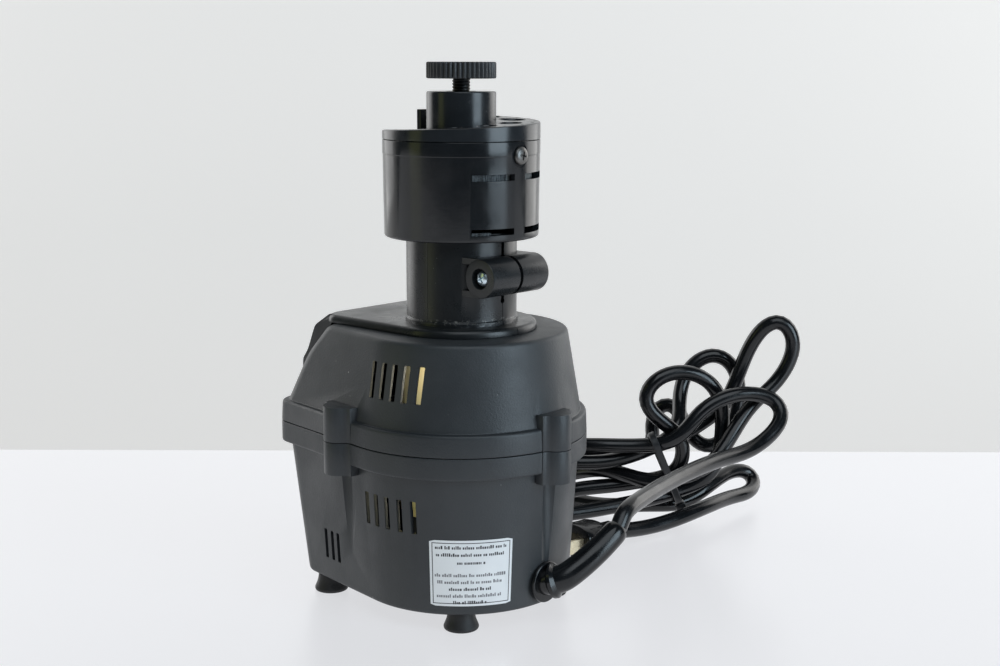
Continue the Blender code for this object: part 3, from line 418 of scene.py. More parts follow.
def turned(profile, segments, centre=(0, 0), start=0.0, sweep=360.0):
    """A closed (radius, height) outline turned about a vertical axis."""
    mesh = bmesh.new()
    whole = sweep >= 360.0
    steps = segments if whole else segments + 1
    rings = []
    for i in range(steps):
        angle = math.radians(start + sweep * i / segments)
        ring = []
        for j, (radius, height) in enumerate(profile):
            if radius == 0 and i:
                ring.append(rings[0][j])
                continue
            x, y = centre[0] + radius * math.cos(angle), centre[1] + radius * math.sin(angle)
            ring.append(mesh.verts.new((x, y, height)))
        rings.append(ring)
    pairs = [(rings[i], rings[(i + 1) % steps]) for i in range(steps if whole else steps - 1)]
    for here, there in pairs:
        for j in range(len(profile)):
            k = (j + 1) % len(profile)
            corners = []
            for corner in (here[j], there[j], there[k], here[k]):
                if corner not in corners:
                    corners.append(corner)
            if len(corners) > 2:
                mesh.faces.new(corners)
    if not whole:
        mesh.faces.new(rings[0])
        mesh.faces.new(rings[-1])
    bmesh.ops.recalc_face_normals(mesh, faces=mesh.faces)
    return mesh


def oblong(left, low, right, high):
    return [(left, low), (right, low), (right, high), (left, high)]


def disc(radius, low, high, segments, centre=(0, 0)):
    return turned(oblong(0, low, radius, high), segments, centre)


def tube(outer, inner, low, high, segments):
    return turned(oblong(inner, low, outer, high), segments)


def sector(outer, inner, low, high, middle, width, segments):
    return turned(oblong(inner, low, outer, high), segments, start=middle - width / 2, sweep=width)


def block(low, high):
    mesh = bmesh.new()
    bmesh.ops.create_cube(mesh, size=1.0)
    for vert in mesh.verts:
        vert.co = [low[i] + (vert.co[i] + 0.5) * (high[i] - low[i]) for i in range(3)]
    return mesh


def prism(outline, low, high):
    """A plan outline drawn up between two heights."""
    return loft([[(x, y, z) for x, y in outline] for z in (low, high)])


def lying(mesh, axis, position):
    """Turns a mesh's own Z towards `axis`, then moves it."""
    turn = Vector(Z).rotation_difference(Vector(axis)).to_matrix()
    for vert in mesh.verts:
        vert.co = turn @ vert.co + Vector(position)
    return mesh


def polygon(radius, sides, centre=(0, 0)):
    angles = [2 * math.pi * i / sides for i in range(sides)]
    return [(centre[0] + radius * math.cos(a), centre[1] + radius * math.sin(a)) for a in angles]


def eased(points, cuts, steps=5):
    """The polyline with the corner at each index in `cuts` rounded off over that length."""
    result = []
    for i, point in enumerate(points):
        if i not in cuts:
            result.append(tuple(point))
            continue
        here = np.array(point, float)
        before = np.array(points[i - 1], float) - here
        after = np.array(points[(i + 1) % len(points)], float) - here
        first = here + before / np.linalg.norm(before) * cuts[i]
        last = here + after / np.linalg.norm(after) * cuts[i]
        for t in np.linspace(0, 1, steps + 1):
            result.append(tuple(((1 - t) ** 2 * first + 2 * t * (1 - t) * here + t * t * last).tolist()))
    return result


def horseshoe(radius, front, height, corner, taper=TAPER):
    """The plan at one height: an arc about the neck's axis, sides that close in and round front corners."""
    lean = math.radians(taper)
    centre_x = (radius - corner - (-front - corner) * math.sin(lean)) / math.cos(lean)
    centre_y = front + corner
    arc_steps, corner_steps = 72, 10
    arcs = ((0, 0, radius, -lean, math.pi + lean, arc_steps),
            (-centre_x, centre_y, corner, math.pi + lean, 1.5 * math.pi, corner_steps),
            (centre_x, centre_y, corner, 1.5 * math.pi, 2 * math.pi - lean, corner_steps))
    points = []
    for x, y, size, first, last, steps in arcs:
        for i in range(steps + 1):
            angle = first + (last - first) * i / steps
            points.append((x + size * math.cos(angle), y + size * math.sin(angle), height))
    return points


def walls(profile, cuts, corner=CORNER):
    """A solid through horseshoes given as (radius, front, height), with the listed corners rounded."""
    return loft([horseshoe(r, front, z, max(2.0, corner)) for r, front, z in eased(profile, cuts)])


def smooth_path(points, step):
    """Points `step` apart along one Catmull-Rom curve through the given points."""
    given = np.array(points, float)
    ends = np.vstack([2 * given[0] - given[1], given, 2 * given[-1] - given[-2]])
    fine = []
    for a, b, c, d in zip(ends, ends[1:], ends[2:], ends[3:]):
        for t in np.arange(0, 1, 0.05):
            bend = (2 * a - 5 * b + 4 * c - d) * t**2 + (3 * b - a - 3 * c + d) * t**3
            fine.append(0.5 * (2 * b + (c - a) * t + bend))
    fine = np.array([*fine, given[-1]])
    along = np.concatenate([[0], np.cumsum(np.linalg.norm(np.diff(fine, axis=0), axis=1))])
    count = max(2, round(along[-1] / step)) + 1
    stops = np.linspace(0, along[-1], count)
    return np.stack([np.interp(stops, along, fine[:, i]) for i in range(3)], axis=1)


def swept(path, radii, sides):
    """A tube of changing radius along a path."""
    sections, across = [], None
    for i, point in enumerate(path):
        ahead = Vector(path[min(i + 1, len(path) - 1)] - path[max(i - 1, 0)]).normalized()
        if across is None:
            across = ahead.orthogonal().normalized()
        across = (across - ahead * across.dot(ahead)).normalized()
        over = ahead.cross(across)
        ring = polygon(radii[i], sides)
        sections.append([Vector(point) + x * across + y * over for x, y in ring])
    return loft(sections)


# ---------------------------------------------------------------- base


# Chips and scuffs on the shells: place and radius.
CHIPS = (((36.0, 39.5, 84.2), 0.9), ((46.5, 12.5, 56.6), 0.35), ((46.0, 11.5, 55.9), 0.3),
         ((30.0, 44.6, 76.4), 0.3))


def boss_outline(centre, radius, outward, wall):
    """A screw boss in plan: a circle that runs into the band through a hollow curve on each side."""
    if wall > radius - 0.3:
        return polygon(radius, 40, centre)
    fillet = 3.2
    offset = math.sqrt((radius + fillet) ** 2 - (wall + fillet) ** 2)
    tip = math.atan2(offset, wall + fillet)
    flank = []
    for turn in np.linspace(-math.pi, tip - math.pi, 8):
        flank.append((wall + fillet + fillet * math.cos(turn), offset + fillet * math.sin(turn)))
    arc = [around(radius, a) for a in np.linspace(tip, -tip, 24)[1:-1]]
    outline = [(-3.0, -offset), (-3.0, offset), *flank, *arc, *[(o, -s) for o, s in reversed(flank)]]
    (x, y), (out_x, out_y) = centre, outward
    return [(x + o * out_x - s * out_y, y + o * out_y + s * out_x) for o, s in outline]


def vent_cutters(vents):
    """Slots with slightly rounded ends through both side walls."""
    centres, width, low, high = vents
    slots = []
    for y in centres:
        outline = oblong(y - width / 2, low, y + width / 2, high)
        ring = eased(outline, dict.fromkeys(range(4), 0.5), 3)
        slots.append(loft([[(x, *point) for point in ring] for x in (-70, 70)]))
    return merged(*slots)


def vent_pocket(outer, low, high):
    """The hollow that thins the wall behind the vents, between two heights: the inside of `outer`."""
    skin = 1.1
    inside = [(radius - skin, front + skin, height) for radius, front, height in outer]
    pocket = new_piece("pocket", walls(inside, {}, CORNER - skin), None)
    sides = merged(block((30, -9.5, low), (60, 21.5, high)), block((-60, -9.5, low), (-30, 21.5, high)))
    return boolean(pocket, "INTERSECT", new_piece("keep", sides, None))


def switch_opening():
    half_x, half_z = SWITCH_HALF_WIDTH + 0.3, SWITCH_HALF_HEIGHT + 0.3
    return block((-half_x, -85, SWITCH_HEIGHT - half_z), (half_x, -45, SWITCH_HEIGHT + half_z))


def wall_radius(height):
    """The lower wall's outer radius, which grows steadily from its foot to the band."""
    foot, foot_radius, rise, growth = 9.8, 45.8, 55.8, 3.6
    return foot_radius + growth * (height - foot) / rise


def lower_housing(surface):
    outside = [(42.8, -58.2, BASE_BOTTOM), (45.67, -61.1, BASE_BOTTOM), (49.4, -68.3, BAND_LOW),
               (52.9, -70.9, BAND_LOW), (52.9, -70.9, PARTING - GAP), (49.6, -67.6, PARTING - GAP)]
    shell = new_piece("lower_shell", walls(outside, {1: 1.9, 2: 0.4, 3: 1.1, 4: 0.45}), surface)
    inside = [(43.0, -58.5, BASE_BOTTOM + WALL), (46.6, -65.5, PARTING + 1)]
    inner = new_piece("inner", walls(inside, {}, CORNER - WALL), None)
    ways = [(48.2, -22.1), (-48.2, -22.1), (0.0, 50.5)]
    cut(inner, merged(*[disc(6.6, 0, 80, 40, at) for at in ways]))
    cut(shell, inner)
    fuse(shell, merged(*[prism(boss_outline(*boss), BOSS_LOW, PARTING - GAP) for boss in BOSSES]))
    fuse(shell, tube(24.0, 21.0, BASE_BOTTOM + 1, 40.2, 48))
    soften(shell, 0.5, 2, 50.0)
    cut(shell, merged(*[disc(4.2, 2, BOSS_LOW - 0.01, 48, at) for at in ways]))
    bore = [(0, 60), (3.9, 60), (3.9, 64.1), (2.1, 64.1), (2.1, 76), (0, 76)]
    cut(shell, merged(*[turned(bore, 24, boss[0]) for boss in BOSSES]))
    relief = lying(disc(6.2, 0, 20, 32), Y, (0, 38, RELIEF_PATH[0][2]))
    cut(shell, vent_pocket([(45.2, -60.8, 9.0), (48.9, -67.8, BAND_LOW)], 38.5, 58.0))
    cut(shell, vent_cutters(LOWER_VENTS), vent_cutters(FRONT_VENTS), relief)
    place(shell, "root", "housing", "lower_housing")


def upper_housing(surface):
    outside = [(49.6, -67.6, PARTING + GAP), (52.9, -70.9, PARTING + GAP), (52.5, -70.5, BAND_HIGH),
               (50.2, -68.6, BAND_HIGH), (46.6, -57.5, 105.0), (44.33, -44.7, SHOULDER),
               (36.0, -36.4, SHOULDER)]
    shell = new_piece("upper_shell", walls(outside, {1: 0.45, 2: 1.5, 3: 0.7, 4: 5.0, 5: 2.6}), surface)
    inside = [(47.4, -65.8, PARTING - 1), (43.8, -54.7, 105.0), (41.8, -43.4, SHOULDER - WALL)]
    cut(shell, walls(inside, {}, CORNER - WALL))
    fuse(shell, merged(*[prism(boss_outline(*boss), PARTING + GAP, BOSS_HIGH) for boss in BOSSES]))
    soften(shell, 0.5, 2, 50.0)
    cut(shell, merged(*[disc(2.1, 70, BOSS_HIGH - 3, 24, boss[0]) for boss in BOSSES]))
    behind_vents = [(50.2, -68.6, BAND_HIGH), (46.6, -57.5, 105.0), (44.8, -49.0, 115.0)]
    cut(shell, vent_pocket(behind_vents, 91.5, 112.0))
    cut(shell, vent_cutters(UPPER_VENTS), switch_opening(), disc(20.0, SHOULDER - 6, SHOULDER + 3, 48))
    place(shell, "root", "housing", "upper_housing")


def neck_bracket(surface):
    """The pad with its front panel, the neck tube and the clamp lugs, all one moulding."""
    rim = eased([(31.5, -53.0, 118.5), (31.5, -53.0, PAD_TOP), (24.0, -45.5, PAD_TOP)], {1: 2.9}, 8)
    pad = new_piece("neck_clamp", loft([horseshoe(r, front, z, 8.0, 0) for r, front, z in rim]), surface)
    side = [(-44, 118.6), (-44, PAD_TOP - 0.05), (-50, PAD_TOP - 0.05), (-60, 115.5), (-65, 104),
            (PANEL_FRONT, 99.8), (PANEL_FRONT, 89.6), (-66.4, 89.6), (-58.0, 105), (-48.4, 118.6)]
    side = eased(side, {2: 1.6, 3: 2.0, 4: 2.0, 5: 1.6, 6: 0.6}, 4)
    panel = new_piece("panel", loft([[(x, y, z) for y, z in side] for x in (-29.0, 29.0)]), surface)
    soften(panel, 1.5, 4, 60.0)
    collar, lip = NECK_RADIUS + 0.5, PAD_TOP + 1.6
    outline = [(0, 119.1), (collar, 119.1), (collar, lip), (NECK_RADIUS, lip + 0.25), (NECK_RADIUS, NECK_TOP),
               (0, NECK_TOP)]
    neck = turned(eased(outline, {2: 0.45, 3: 0.4, 4: 0.7}, 4), 160)
    lug, at = oblong(0, -LUG_END, LUG_RADIUS, LUG_END), (0, LUG_Y, LUG_HEIGHT)
    lugs = lying(turned(eased(lug, {1: 0.5, 2: 0.5}, 3), 72), X, at)
    rib_x = LUG_END - 0.15
    ribs = [block((-rib_x, 10, LUG_HEIGHT + z), (rib_x, LUG_Y, LUG_HEIGHT + z + 2.4)) for z in (5.4, -7.8)]
    web = block((-12.7, 10, LUG_HEIGHT - 5.6), (12.7, LUG_Y, LUG_HEIGHT + 5.6))
    fuse(pad, panel, neck, lugs, *ribs, web, solver="MANIFOLD")
    soften(pad, 0.35, 2, 50.0)
    ridge, foot, top = NECK_RADIUS + 0.12, lip + 0.6, NECK_TOP - 1
    seam = turned(oblong(22.5, foot, ridge, top), 2, start=5.6, sweep=0.7)
    fuse(pad, seam, solver="MANIFOLD")
    bore = turned([(0, 116), (12, 116), (12, PAD_TOP), (NECK_BORE, PAD_TOP), (NECK_BORE, 160), (0, 160)], 96)
    slit = block((-0.85, 12, 131.5), (0.85, 40, 160))
    hole = lying(disc(1.15, 20, 28, 24), Y, (0, 0, 131.6))
    rear_seam = block((-0.13, 22.6, 117), (0.13, 40, 131))
    screw_way = turned([(0, -30), (2.3, -30), (2.3, 13.5), (4.15, 13.5), (4.35, 20), (0, 20)], 48)
    nut_way = lying(prism(polygon(4.4, 6), -20, -13.3), X, at)
    screw_way = lying(screw_way, X, at)
    cut(pad, bore, slit, hole, rear_seam, screw_way, nut_way, switch_opening(), solver="MANIFOLD")
    place(pad, "root", "bracket", "neck_bracket")


def cross_recess(obj, reach, width, depth, top, turn, axis, position):
    """A cross-head recess whose wings narrow towards the bottom."""
    for extra in (0.0, math.pi / 2):
        wings = []
        for height, share in ((top + 0.5, 1.15), (top - depth, 0.45)):
            corners = oblong(-reach * share, -width / 2, reach * share, width / 2)
            c, s = math.cos(turn + extra), math.sin(turn + extra)
            wings.append([(x * c - y * s, x * s + y * c, height) for x, y in corners])
        cut(obj, lying(loft(wings), axis, position))


def screw_head(name, radius, low, high, axis, position, turn, surface):
    """A pan head with a short shank under it."""
    outline = [(0, low - 4), (1.6, low - 4), (1.6, low), (radius, low), (radius, low + 0.45)]
    for angle in np.linspace(0.1, math.pi / 2, 9)[:-1]:
        outline.append((radius * math.cos(angle) ** 0.8, low + 0.45 + (high - low - 0.45) * math.sin(angle)))
    outline.append((0, high))
    head = new_piece(name, lying(turned(outline, 48), axis, position), surface)
    cross_recess(head, radius * 0.56, radius * 0.19, (high - low) * 0.75, high, turn, axis, position)
    return head


def clamp_hardware(zinc, steel):
    at = (0, LUG_Y, LUG_HEIGHT)
    head = screw_head("clamp_screw_head", 3.35, 13.8, 16.2, X, at, 0.55, zinc)
    place(fuse(head, lying(disc(2.0, -15.4, 13.0, 24), X, at)), "root", "screw_zinc", "clamp_screw")
    nut = new_piece("clamp_nut_hex", lying(prism(polygon(4.0, 6), -16.6, -13.6), X, at), steel)
    cut(nut, lying(disc(2.3, -20, 0, 24), X, at))
    place(soften(nut, 0.25, 2), "root", "steel", "clamp_nut")


def feet(surface):
    outline = [(0, 0.0), (6.9, 0.0), (7.4, 0.9), (5.9, 4.4), (5.5, 7.5), (0, 7.5)]
    outline = eased(outline, {1: 0.35, 2: 0.7, 3: 1.6}, 5)
    for number, centre in enumerate(FEET, 1):
        foot = new_piece(f"foot_{number}", turned(outline, 72, centre), surface)
        cut(foot, disc(2.6, -1, 1.6, 32, centre))
        place(foot, "root", "rubber", f"rubber_foot_{number}")


def housing_screws(surface):
    down = (0, 0, -1)
    for number, boss in enumerate(BOSSES, 1):
        name, at = f"housing_screw_head_{number}", (*boss[0], 0)
        head = screw_head(name, 3.4, -63.9, -61.5, down, at, 0.3 * number, surface)
        fuse(head, disc(1.75, 63.8, 84.5, 20, boss[0]))
        place(head, "root", "screw_zinc", f"housing_screw_{number}")


# ---------------------------------------------------------------- notice


def wall_patch(left, right, low, high, lift, thick, corner=0.0):
    """A thin patch that follows the lower wall, from `left` to `right` degrees about the neck's axis."""
    mesh = bmesh.new()
    steps = max(1, round(abs(left - right) / 2.5))
    columns = []
    for i in range(steps + 1):
        share = i / steps
        trim = corner * (1 - min(1.0, share * steps, (1 - share) * steps)) if corner else 0.0
        angle, column = math.radians(left + share * (right - left)), []
        for height in (low + trim, high - trim):
            for out in (lift, lift + thick):
                radius = wall_radius(height) + out
                column.append(mesh.verts.new(around(radius, angle, height)))
        columns.append(column)
    for here, there in zip(columns, columns[1:]):
        for a, b in ((0, 1), (1, 3), (3, 2), (2, 0)):
            mesh.faces.new((here[a], here[b], there[b], there[a]))
    for column in (columns[0], columns[-1]):
        mesh.faces.new((column[0], column[1], column[3], column[2]))
    return mesh


def notice(sheet, dark, grey):
    """A sticker with a thin border and rows of plain strokes in place of words."""
    low, high, left, right = 12.0, 40.0, 27.5, 68.5
    width, height = right - left, high - low
    piece = new_piece("notice_sheet", wall_patch(left, right, low, high, 0.02, 0.14, 0.6), sheet)
    place(piece, "root", "paper", "notice_label")
    edge, rule, wall = 1.0, 0.32, 47.0
    turn, rule_turn = math.degrees(edge / wall), math.degrees(rule / wall)
    ink_from, ink_thick = 0.17, 0.02
    border = []
    for z in (low + edge, high - edge - rule):
        border.append(wall_patch(left + turn, right - turn, z, z + rule, ink_from, ink_thick))
    for at in (left + turn, right - turn - rule_turn):
        border.append(wall_patch(at, at + rule_turn, low + edge, high - edge, ink_from, ink_thick))
    place(new_piece("notice_border", merged(*border), dark), "root", "paper")
    rows = ((0.105, 0.07, 0.93, dark), (0.215, 0.08, 0.92, dark), (0.335, 0.33, 0.67, dark),
            (0.525, 0.06, 0.92, grey), (0.63, 0.09, 0.89, grey), (0.735, 0.23, 0.75, dark),
            (0.84, 0.08, 0.88, grey), (0.94, 0.28, 0.70, dark))
    draw = random.Random(7)
    for number, (down, first, last, shade) in enumerate(rows, 1):
        base = high - height * down - 0.75
        marks, at, word = [], first, draw.randint(2, 8)
        while at < last - 0.02:
            stroke = 0.011 + 0.011 * draw.random()
            tall = 0.95 + (0.45 if draw.random() < 0.3 else 0.0)
            start = left + width * at
            marks.append(wall_patch(start, start + width * stroke, base, base + tall, ink_from, 0.015))
            word -= 1
            at += stroke + (0.0075 if word else 0.024)
            word = word or draw.randint(2, 9)
        place(new_piece(f"notice_row_{number}", merged(*marks), shade), "root", "paper")


# ---------------------------------------------------------------- switch


def switch(plastic, gloss):
    low_z, high_z = SWITCH_HEIGHT - SWITCH_HALF_HEIGHT, SWITCH_HEIGHT + SWITCH_HALF_HEIGHT
    half_x, rim, front = SWITCH_HALF_WIDTH, 1.5, BEZEL_FRONT
    bezel = block((-half_x - rim, front, low_z - rim), (half_x + rim, front + 1.3, high_z + rim))
    body = new_piece("switch_frame", bezel, plastic)
    fuse(body, block((-half_x, front + 1, low_z), (half_x, -51, high_z)))
    soften(body, 0.5, 3)
    cut(body, block((-half_x + 1.2, -75, low_z + 0.9), (half_x - 1.2, -61, high_z - 0.9)))
    place(body, "root", "knob", "switch_body")
    outline = [(-7.9, 0.6), (-6.5, 1.2), (6.5, -0.9), (7.9, -1.6), (7.0, 4.6), (-7.0, 4.6)]
    outline = eased(outline, {0: 0.4, 1: 1.5, 2: 1.5, 3: 0.4}, 4)
    rocker = loft([[(x, front + y, SWITCH_HEIGHT + z) for x, y in outline] for z in (-2.9, 2.9)])
    place(soften(new_piece("rocker_cap", rocker, gloss), 0.3, 2), "rocker", "bracket", "switch_rocker")


# ---------------------------------------------------------------- head


def side_screw_ways(outline, segments=48):
    at, outwards = (0, 0, SIDE_SCREW_HEIGHT), [around(1, math.radians(angle), 0) for angle in SIDE_SCREWS]
    return merged(*[lying(turned(outline, segments), axis, at) for axis in outwards])


def head_housing(surface):
    outline = [(14.5, 124), (17.0, 124), (17.0, HEAD_LOW), (32.0, HEAD_LOW), (32.35, 190.6),
               (HEAD_RADIUS, 190.75), (HEAD_RADIUS, HEAD_TOP), (29.4, HEAD_TOP), (29.4, HEAD_LOW + 3),
               (14.5, HEAD_LOW + 3)]
    outline = eased(outline, {3: 1.3, 4: 0.1, 5: 0.1, 6: 0.35}, 5)
    shell = new_piece("head_shell", turned(outline, 192), surface)
    slots = []
    for middle in (67.5, 112.5):
        slots += [sector(36, 27, height - 1.3, height + 1.3, middle, 34, 12) for height in (160.9, 182.4)]
    ways = side_screw_ways([(0, 26), (1.9, 26), (1.9, 32.0), (4.6, 32.0), (4.8, 32.4), (4.8, 36), (0, 36)])
    cut(shell, merged(*slots), ways)
    place(shell, "head", "head", "head_housing")


def ramp():
    """The cap's top: a ring whose top face rises once round, with a step where it ends."""
    inner, outer, steps = BOSS_RADIUS - 1, HEAD_RADIUS, 216
    mesh, rings = bmesh.new(), []
    for i in range(steps + 1):
        angle = math.radians(RAMP_START + 360 * i / steps)
        top = RAMP_LOW + RAMP_RISE * i / steps
        c, s = math.cos(angle), math.sin(angle)
        new = [mesh.verts.new((r * c, r * s, CAP_LOW)) for r in (inner, outer)] if i < steps else rings[0][:2]
        edge = [(outer - inset, top - drop) for inset, drop in ((0, 0.8), (0.12, 0.35), (0.4, 0.1), (0.9, 0))]
        rings.append([*new, *[mesh.verts.new((r * c, r * s, z)) for r, z in (*edge, (inner, top))]])
    first, last = rings[0], rings[-1]
    for here, there in zip(rings, rings[1:]):
        for j in range(7):
            k = (j + 1) % 7
            corners = [here[j], there[j], there[k], here[k]]
            if there is last and j == 1:
                corners.insert(2, first[2])
            if there is last and j == 6:
                corners.insert(2, first[6])
            mesh.faces.new(corners)
    mesh.faces.new((*first[2:7], *reversed(last[2:7])))
    bmesh.ops.recalc_face_normals(mesh, faces=mesh.faces)
    return mesh


def on_ramp(degrees, radius=22.0):
    return around(radius, math.radians(RAMP_START + degrees))


def ramp_top(degrees):
    return RAMP_LOW + RAMP_RISE * degrees / 360


def head_cap(surface):
    boss = [(9.6, CAP_LOW - 1.5), (BOSS_RADIUS, CAP_LOW - 1.5), (BOSS_RADIUS, BOSS_TOP), (6.8, BOSS_TOP),
            (6.8, 209.4), (3.9, 209.4), (3.9, 208.2), (9.6, 208.2)]
    cap = new_piece("head_cap_shell", turned(eased(boss, {2: 0.8, 3: 0.4}, 5), 128), surface)
    skirt = tube(29.1, 26.4, 186, CAP_LOW + 0.8, 96)
    tab = new_piece("tab", block((-6.2, -27.6, CAP_LOW + 0.5), (-1.6, -24.9, 207.8)), surface)
    soften(tab, 0.4, 3)
    fuse(cap, ramp(), skirt, tab)
    guides, marks, above = [], [], 212
    for degrees, diameter in GUIDES:
        top, radius = ramp_top(degrees), diameter / 2
        mouth = [(0, 180), (radius, 180), (radius, top - 0.5), (radius + 0.5, top + 0.25),
                 (radius + 0.5, above), (0, above)]
        guides.append(turned(mouth, 40, on_ramp(degrees)))
    for i in range(18):
        degrees = 14 + 19.0 * i
        marks.append(disc(0.8, ramp_top(degrees) - 0.8, above, 16, on_ramp(degrees, 30.2)))
    ways = side_screw_ways([(0, 24), (1.9, 24), (1.9, 31), (0, 31)], 24)
    cut(cap, merged(*guides), merged(*marks), ways)
    place(cap, "head", "head", "head_cap")


def head_screws(surface):
    for number, angle in enumerate(SIDE_SCREWS, 1):
        name, at = f"side_screw_{number}", (0, 0, SIDE_SCREW_HEIGHT)
        head = screw_head(name, 3.6, 32.3, 34.2, around(1, math.radians(angle), 0), at, 0.4 + number, surface)
        place(head, "head", "screw_dark", f"head_screw_{number}")


def packed_dust(surface):
    """Grinding dust that has filled most of one upper slot and a little of the one below."""
    draw = random.Random(3)
    fills = (("slot_dust", 181.15, 183.65, 64.4, 27), ("slot_dust_low", 159.65, 160.7, 58, 14))
    for name, low, high, middle, width in fills:
        mesh = sector(31.75, 29.6, low, high, middle, width, round(width * 3.2))
        for vert in mesh.verts:
            out = Vector((vert.co.x, vert.co.y, 0)).normalized()
            vert.co += out * draw.uniform(-0.45, 0.3) + Vector((0, 0, draw.uniform(-0.03, 0.03)))
        place(new_piece(name, mesh, surface, 10.0), "head", "felt")


def adjuster(plastic, steel):
    """The fluted knob and the threaded stem under it."""
    rings, steps, groove = [], KNOB_FLUTES * 10, 0.85
    rims = ((KNOB_LOW, 0.55), (KNOB_LOW + 0.15, 0.2), (KNOB_LOW + 0.5, 0.0), (KNOB_TOP - 0.6, 0.0),
            (KNOB_TOP - 0.2, 0.18), (KNOB_TOP, 0.6))
    for height, inset in rims:
        ring = []
        for i in range(steps):
            angle = 2 * math.pi * i / steps
            wave = 0.5 + 0.5 * math.cos(KNOB_FLUTES * angle)
            radius = KNOB_RADIUS - inset - groove * (1 - wave ** 0.55)
            ring.append(around(radius, angle, height))
        rings.append(ring)
    knob = new_piece("knob_body", loft(rings), plastic, 28.0)
    dish = KNOB_TOP - 0.45
    cut(knob, turned([(0, dish), (10.6, dish), (11.1, KNOB_TOP + 1), (0, KNOB_TOP + 1)], 96))
    cut(knob, disc(STEM_RADIUS + 0.2, KNOB_LOW - 2, 224.9, 48))
    bar = new_piece("bar", block((3.2, -1.2, KNOB_TOP - 0.9), (9.2, 1.2, KNOB_TOP)), plastic)
    fuse(knob, soften(bar, 0.35, 3))
    place(knob, "knob", "knob", "adjust_knob")
    rings, sides, thread_depth = [], 48, 0.42
    for height in np.arange(205.5, 224.6, 0.09):
        ring = []
        for i in range(sides):
            phase = (height / THREAD_PITCH - i / sides) % 1.0
            radius = STEM_RADIUS - thread_depth * (1 - min(1.0, 2.6 * abs(phase - 0.5)))
            angle = 2 * math.pi * i / sides
            ring.append(around(radius, angle, height))
        rings.append(ring)
    place(new_piece("threaded_stem", loft(rings), steel, 60.0), "knob", "steel", "adjust_stem")


# ---------------------------------------------------------------- cord


def cord_line():
    """The cord's centreline: the route, with strands that come too close eased a diameter apart."""
    home = smooth_path(CORD_ROUTE, 7.0)
    path = home.copy()
    index = np.arange(len(home))
    apart = np.abs(index[:, None] - index[None, :]) > 4
    held, passes, share, easing = 3, 300, 0.3, 0.35
    for _ in range(passes):
        between = path[:, None] - path[None]
        distance = np.linalg.norm(between, axis=2) + 1e-9
        push = np.where(apart, np.clip(STRAND_GAP - distance, 0, None), 0)
        change = path + share * (between / distance[..., None] * push[..., None]).sum(axis=1) - home
        for _ in range(2):
            change[1:-1] += easing * ((change[:-2] + change[2:]) / 2 - change[1:-1])
        change *= 0.998
        change[:held] = change[-held:] = 0
        path = home + change
        path[:, 2] = np.maximum(path[:, 2], CORD_DIAMETER / 2 + 0.2)
        plan = np.hypot(path[:, 0], path[:, 1])
        inside = plan < BASE_CLEARANCE
        inside[:held + 3] = False
        path[inside, :2] *= (BASE_CLEARANCE / plan[inside])[:, None]
    first, last = held, len(path) - held
    for _ in range(2):
        path[first:last] += 0.2 * (path[first - 1:last - 1] + path[first + 1:last + 1] - 2 * path[first:last])
    return smooth_path(path, 2.5)


def power_cord(surface):
    line = cord_line()
    data = bpy.data.curves.new("mains_cord", "CURVE")
    data.dimensions = "3D"
    data.bevel_depth = CORD_DIAMETER / 2 * MM
    data.bevel_resolution = 6
    data.use_fill_caps = True
    data.materials.append(surface)
    spline = data.splines.new("POLY")
    spline.points.add(len(line) - 1)
    for point, at in zip(spline.points, line):
        point.co = (*to_frame(at), 1.0)
    spline.use_smooth = True
    piece = linked("mains_cord", data)
    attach(piece, "root")
    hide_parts("power_cord")
    return piece, line


def strain_relief(surface):
    path = smooth_path(RELIEF_PATH, 1.0)
    count, radii, rounding, collar = len(path), [], 0.965, 7.3
    for i in range(count):
        share = i / (count - 1)
        radius = 5.9 - 0.8 * share
        if share > rounding:
            radius -= 0.35 * ((share - rounding) / 0.035) ** 2
        if 0.20 < share < 0.245:
            radius = collar
        radii.append(radius)
    sleeve = new_piece("relief_sleeve", swept(path, radii, 48), surface)
    height = RELIEF_PATH[0][2]
    flange = eased(oblong(0, 0, 8.6, 1.8), {1: 0.3, 2: 0.7}, 4)
    fuse(sleeve, lying(turned(flange, 64), Y, (0, wall_radius(height) + 0.3, height)))
    return place(sleeve, "root", "cord", "strain_relief")


def tie_loop(path, across, over, axis):
    """The strap's loop in its own plane: the hull of the strands that it holds, a little outside them."""
    centre, rims = Vector(TIE_CENTRE), []
    for here, there in zip(path, path[1:]):
        before, after = (Vector(here) - centre).dot(axis), (Vector(there) - centre).dot(axis)
        if before * after > 0:
            continue
        crossing = Vector(here).lerp(Vector(there), before / (before - after)) - centre
        if crossing.length < TIE_REACH:
            rims += polygon(TIE_CLEAR, 40, (crossing.dot(across), crossing.dot(over)))
    return [Vector(rims[i]) for i in geometry.convex_hull_2d([Vector(point) for point in rims])]


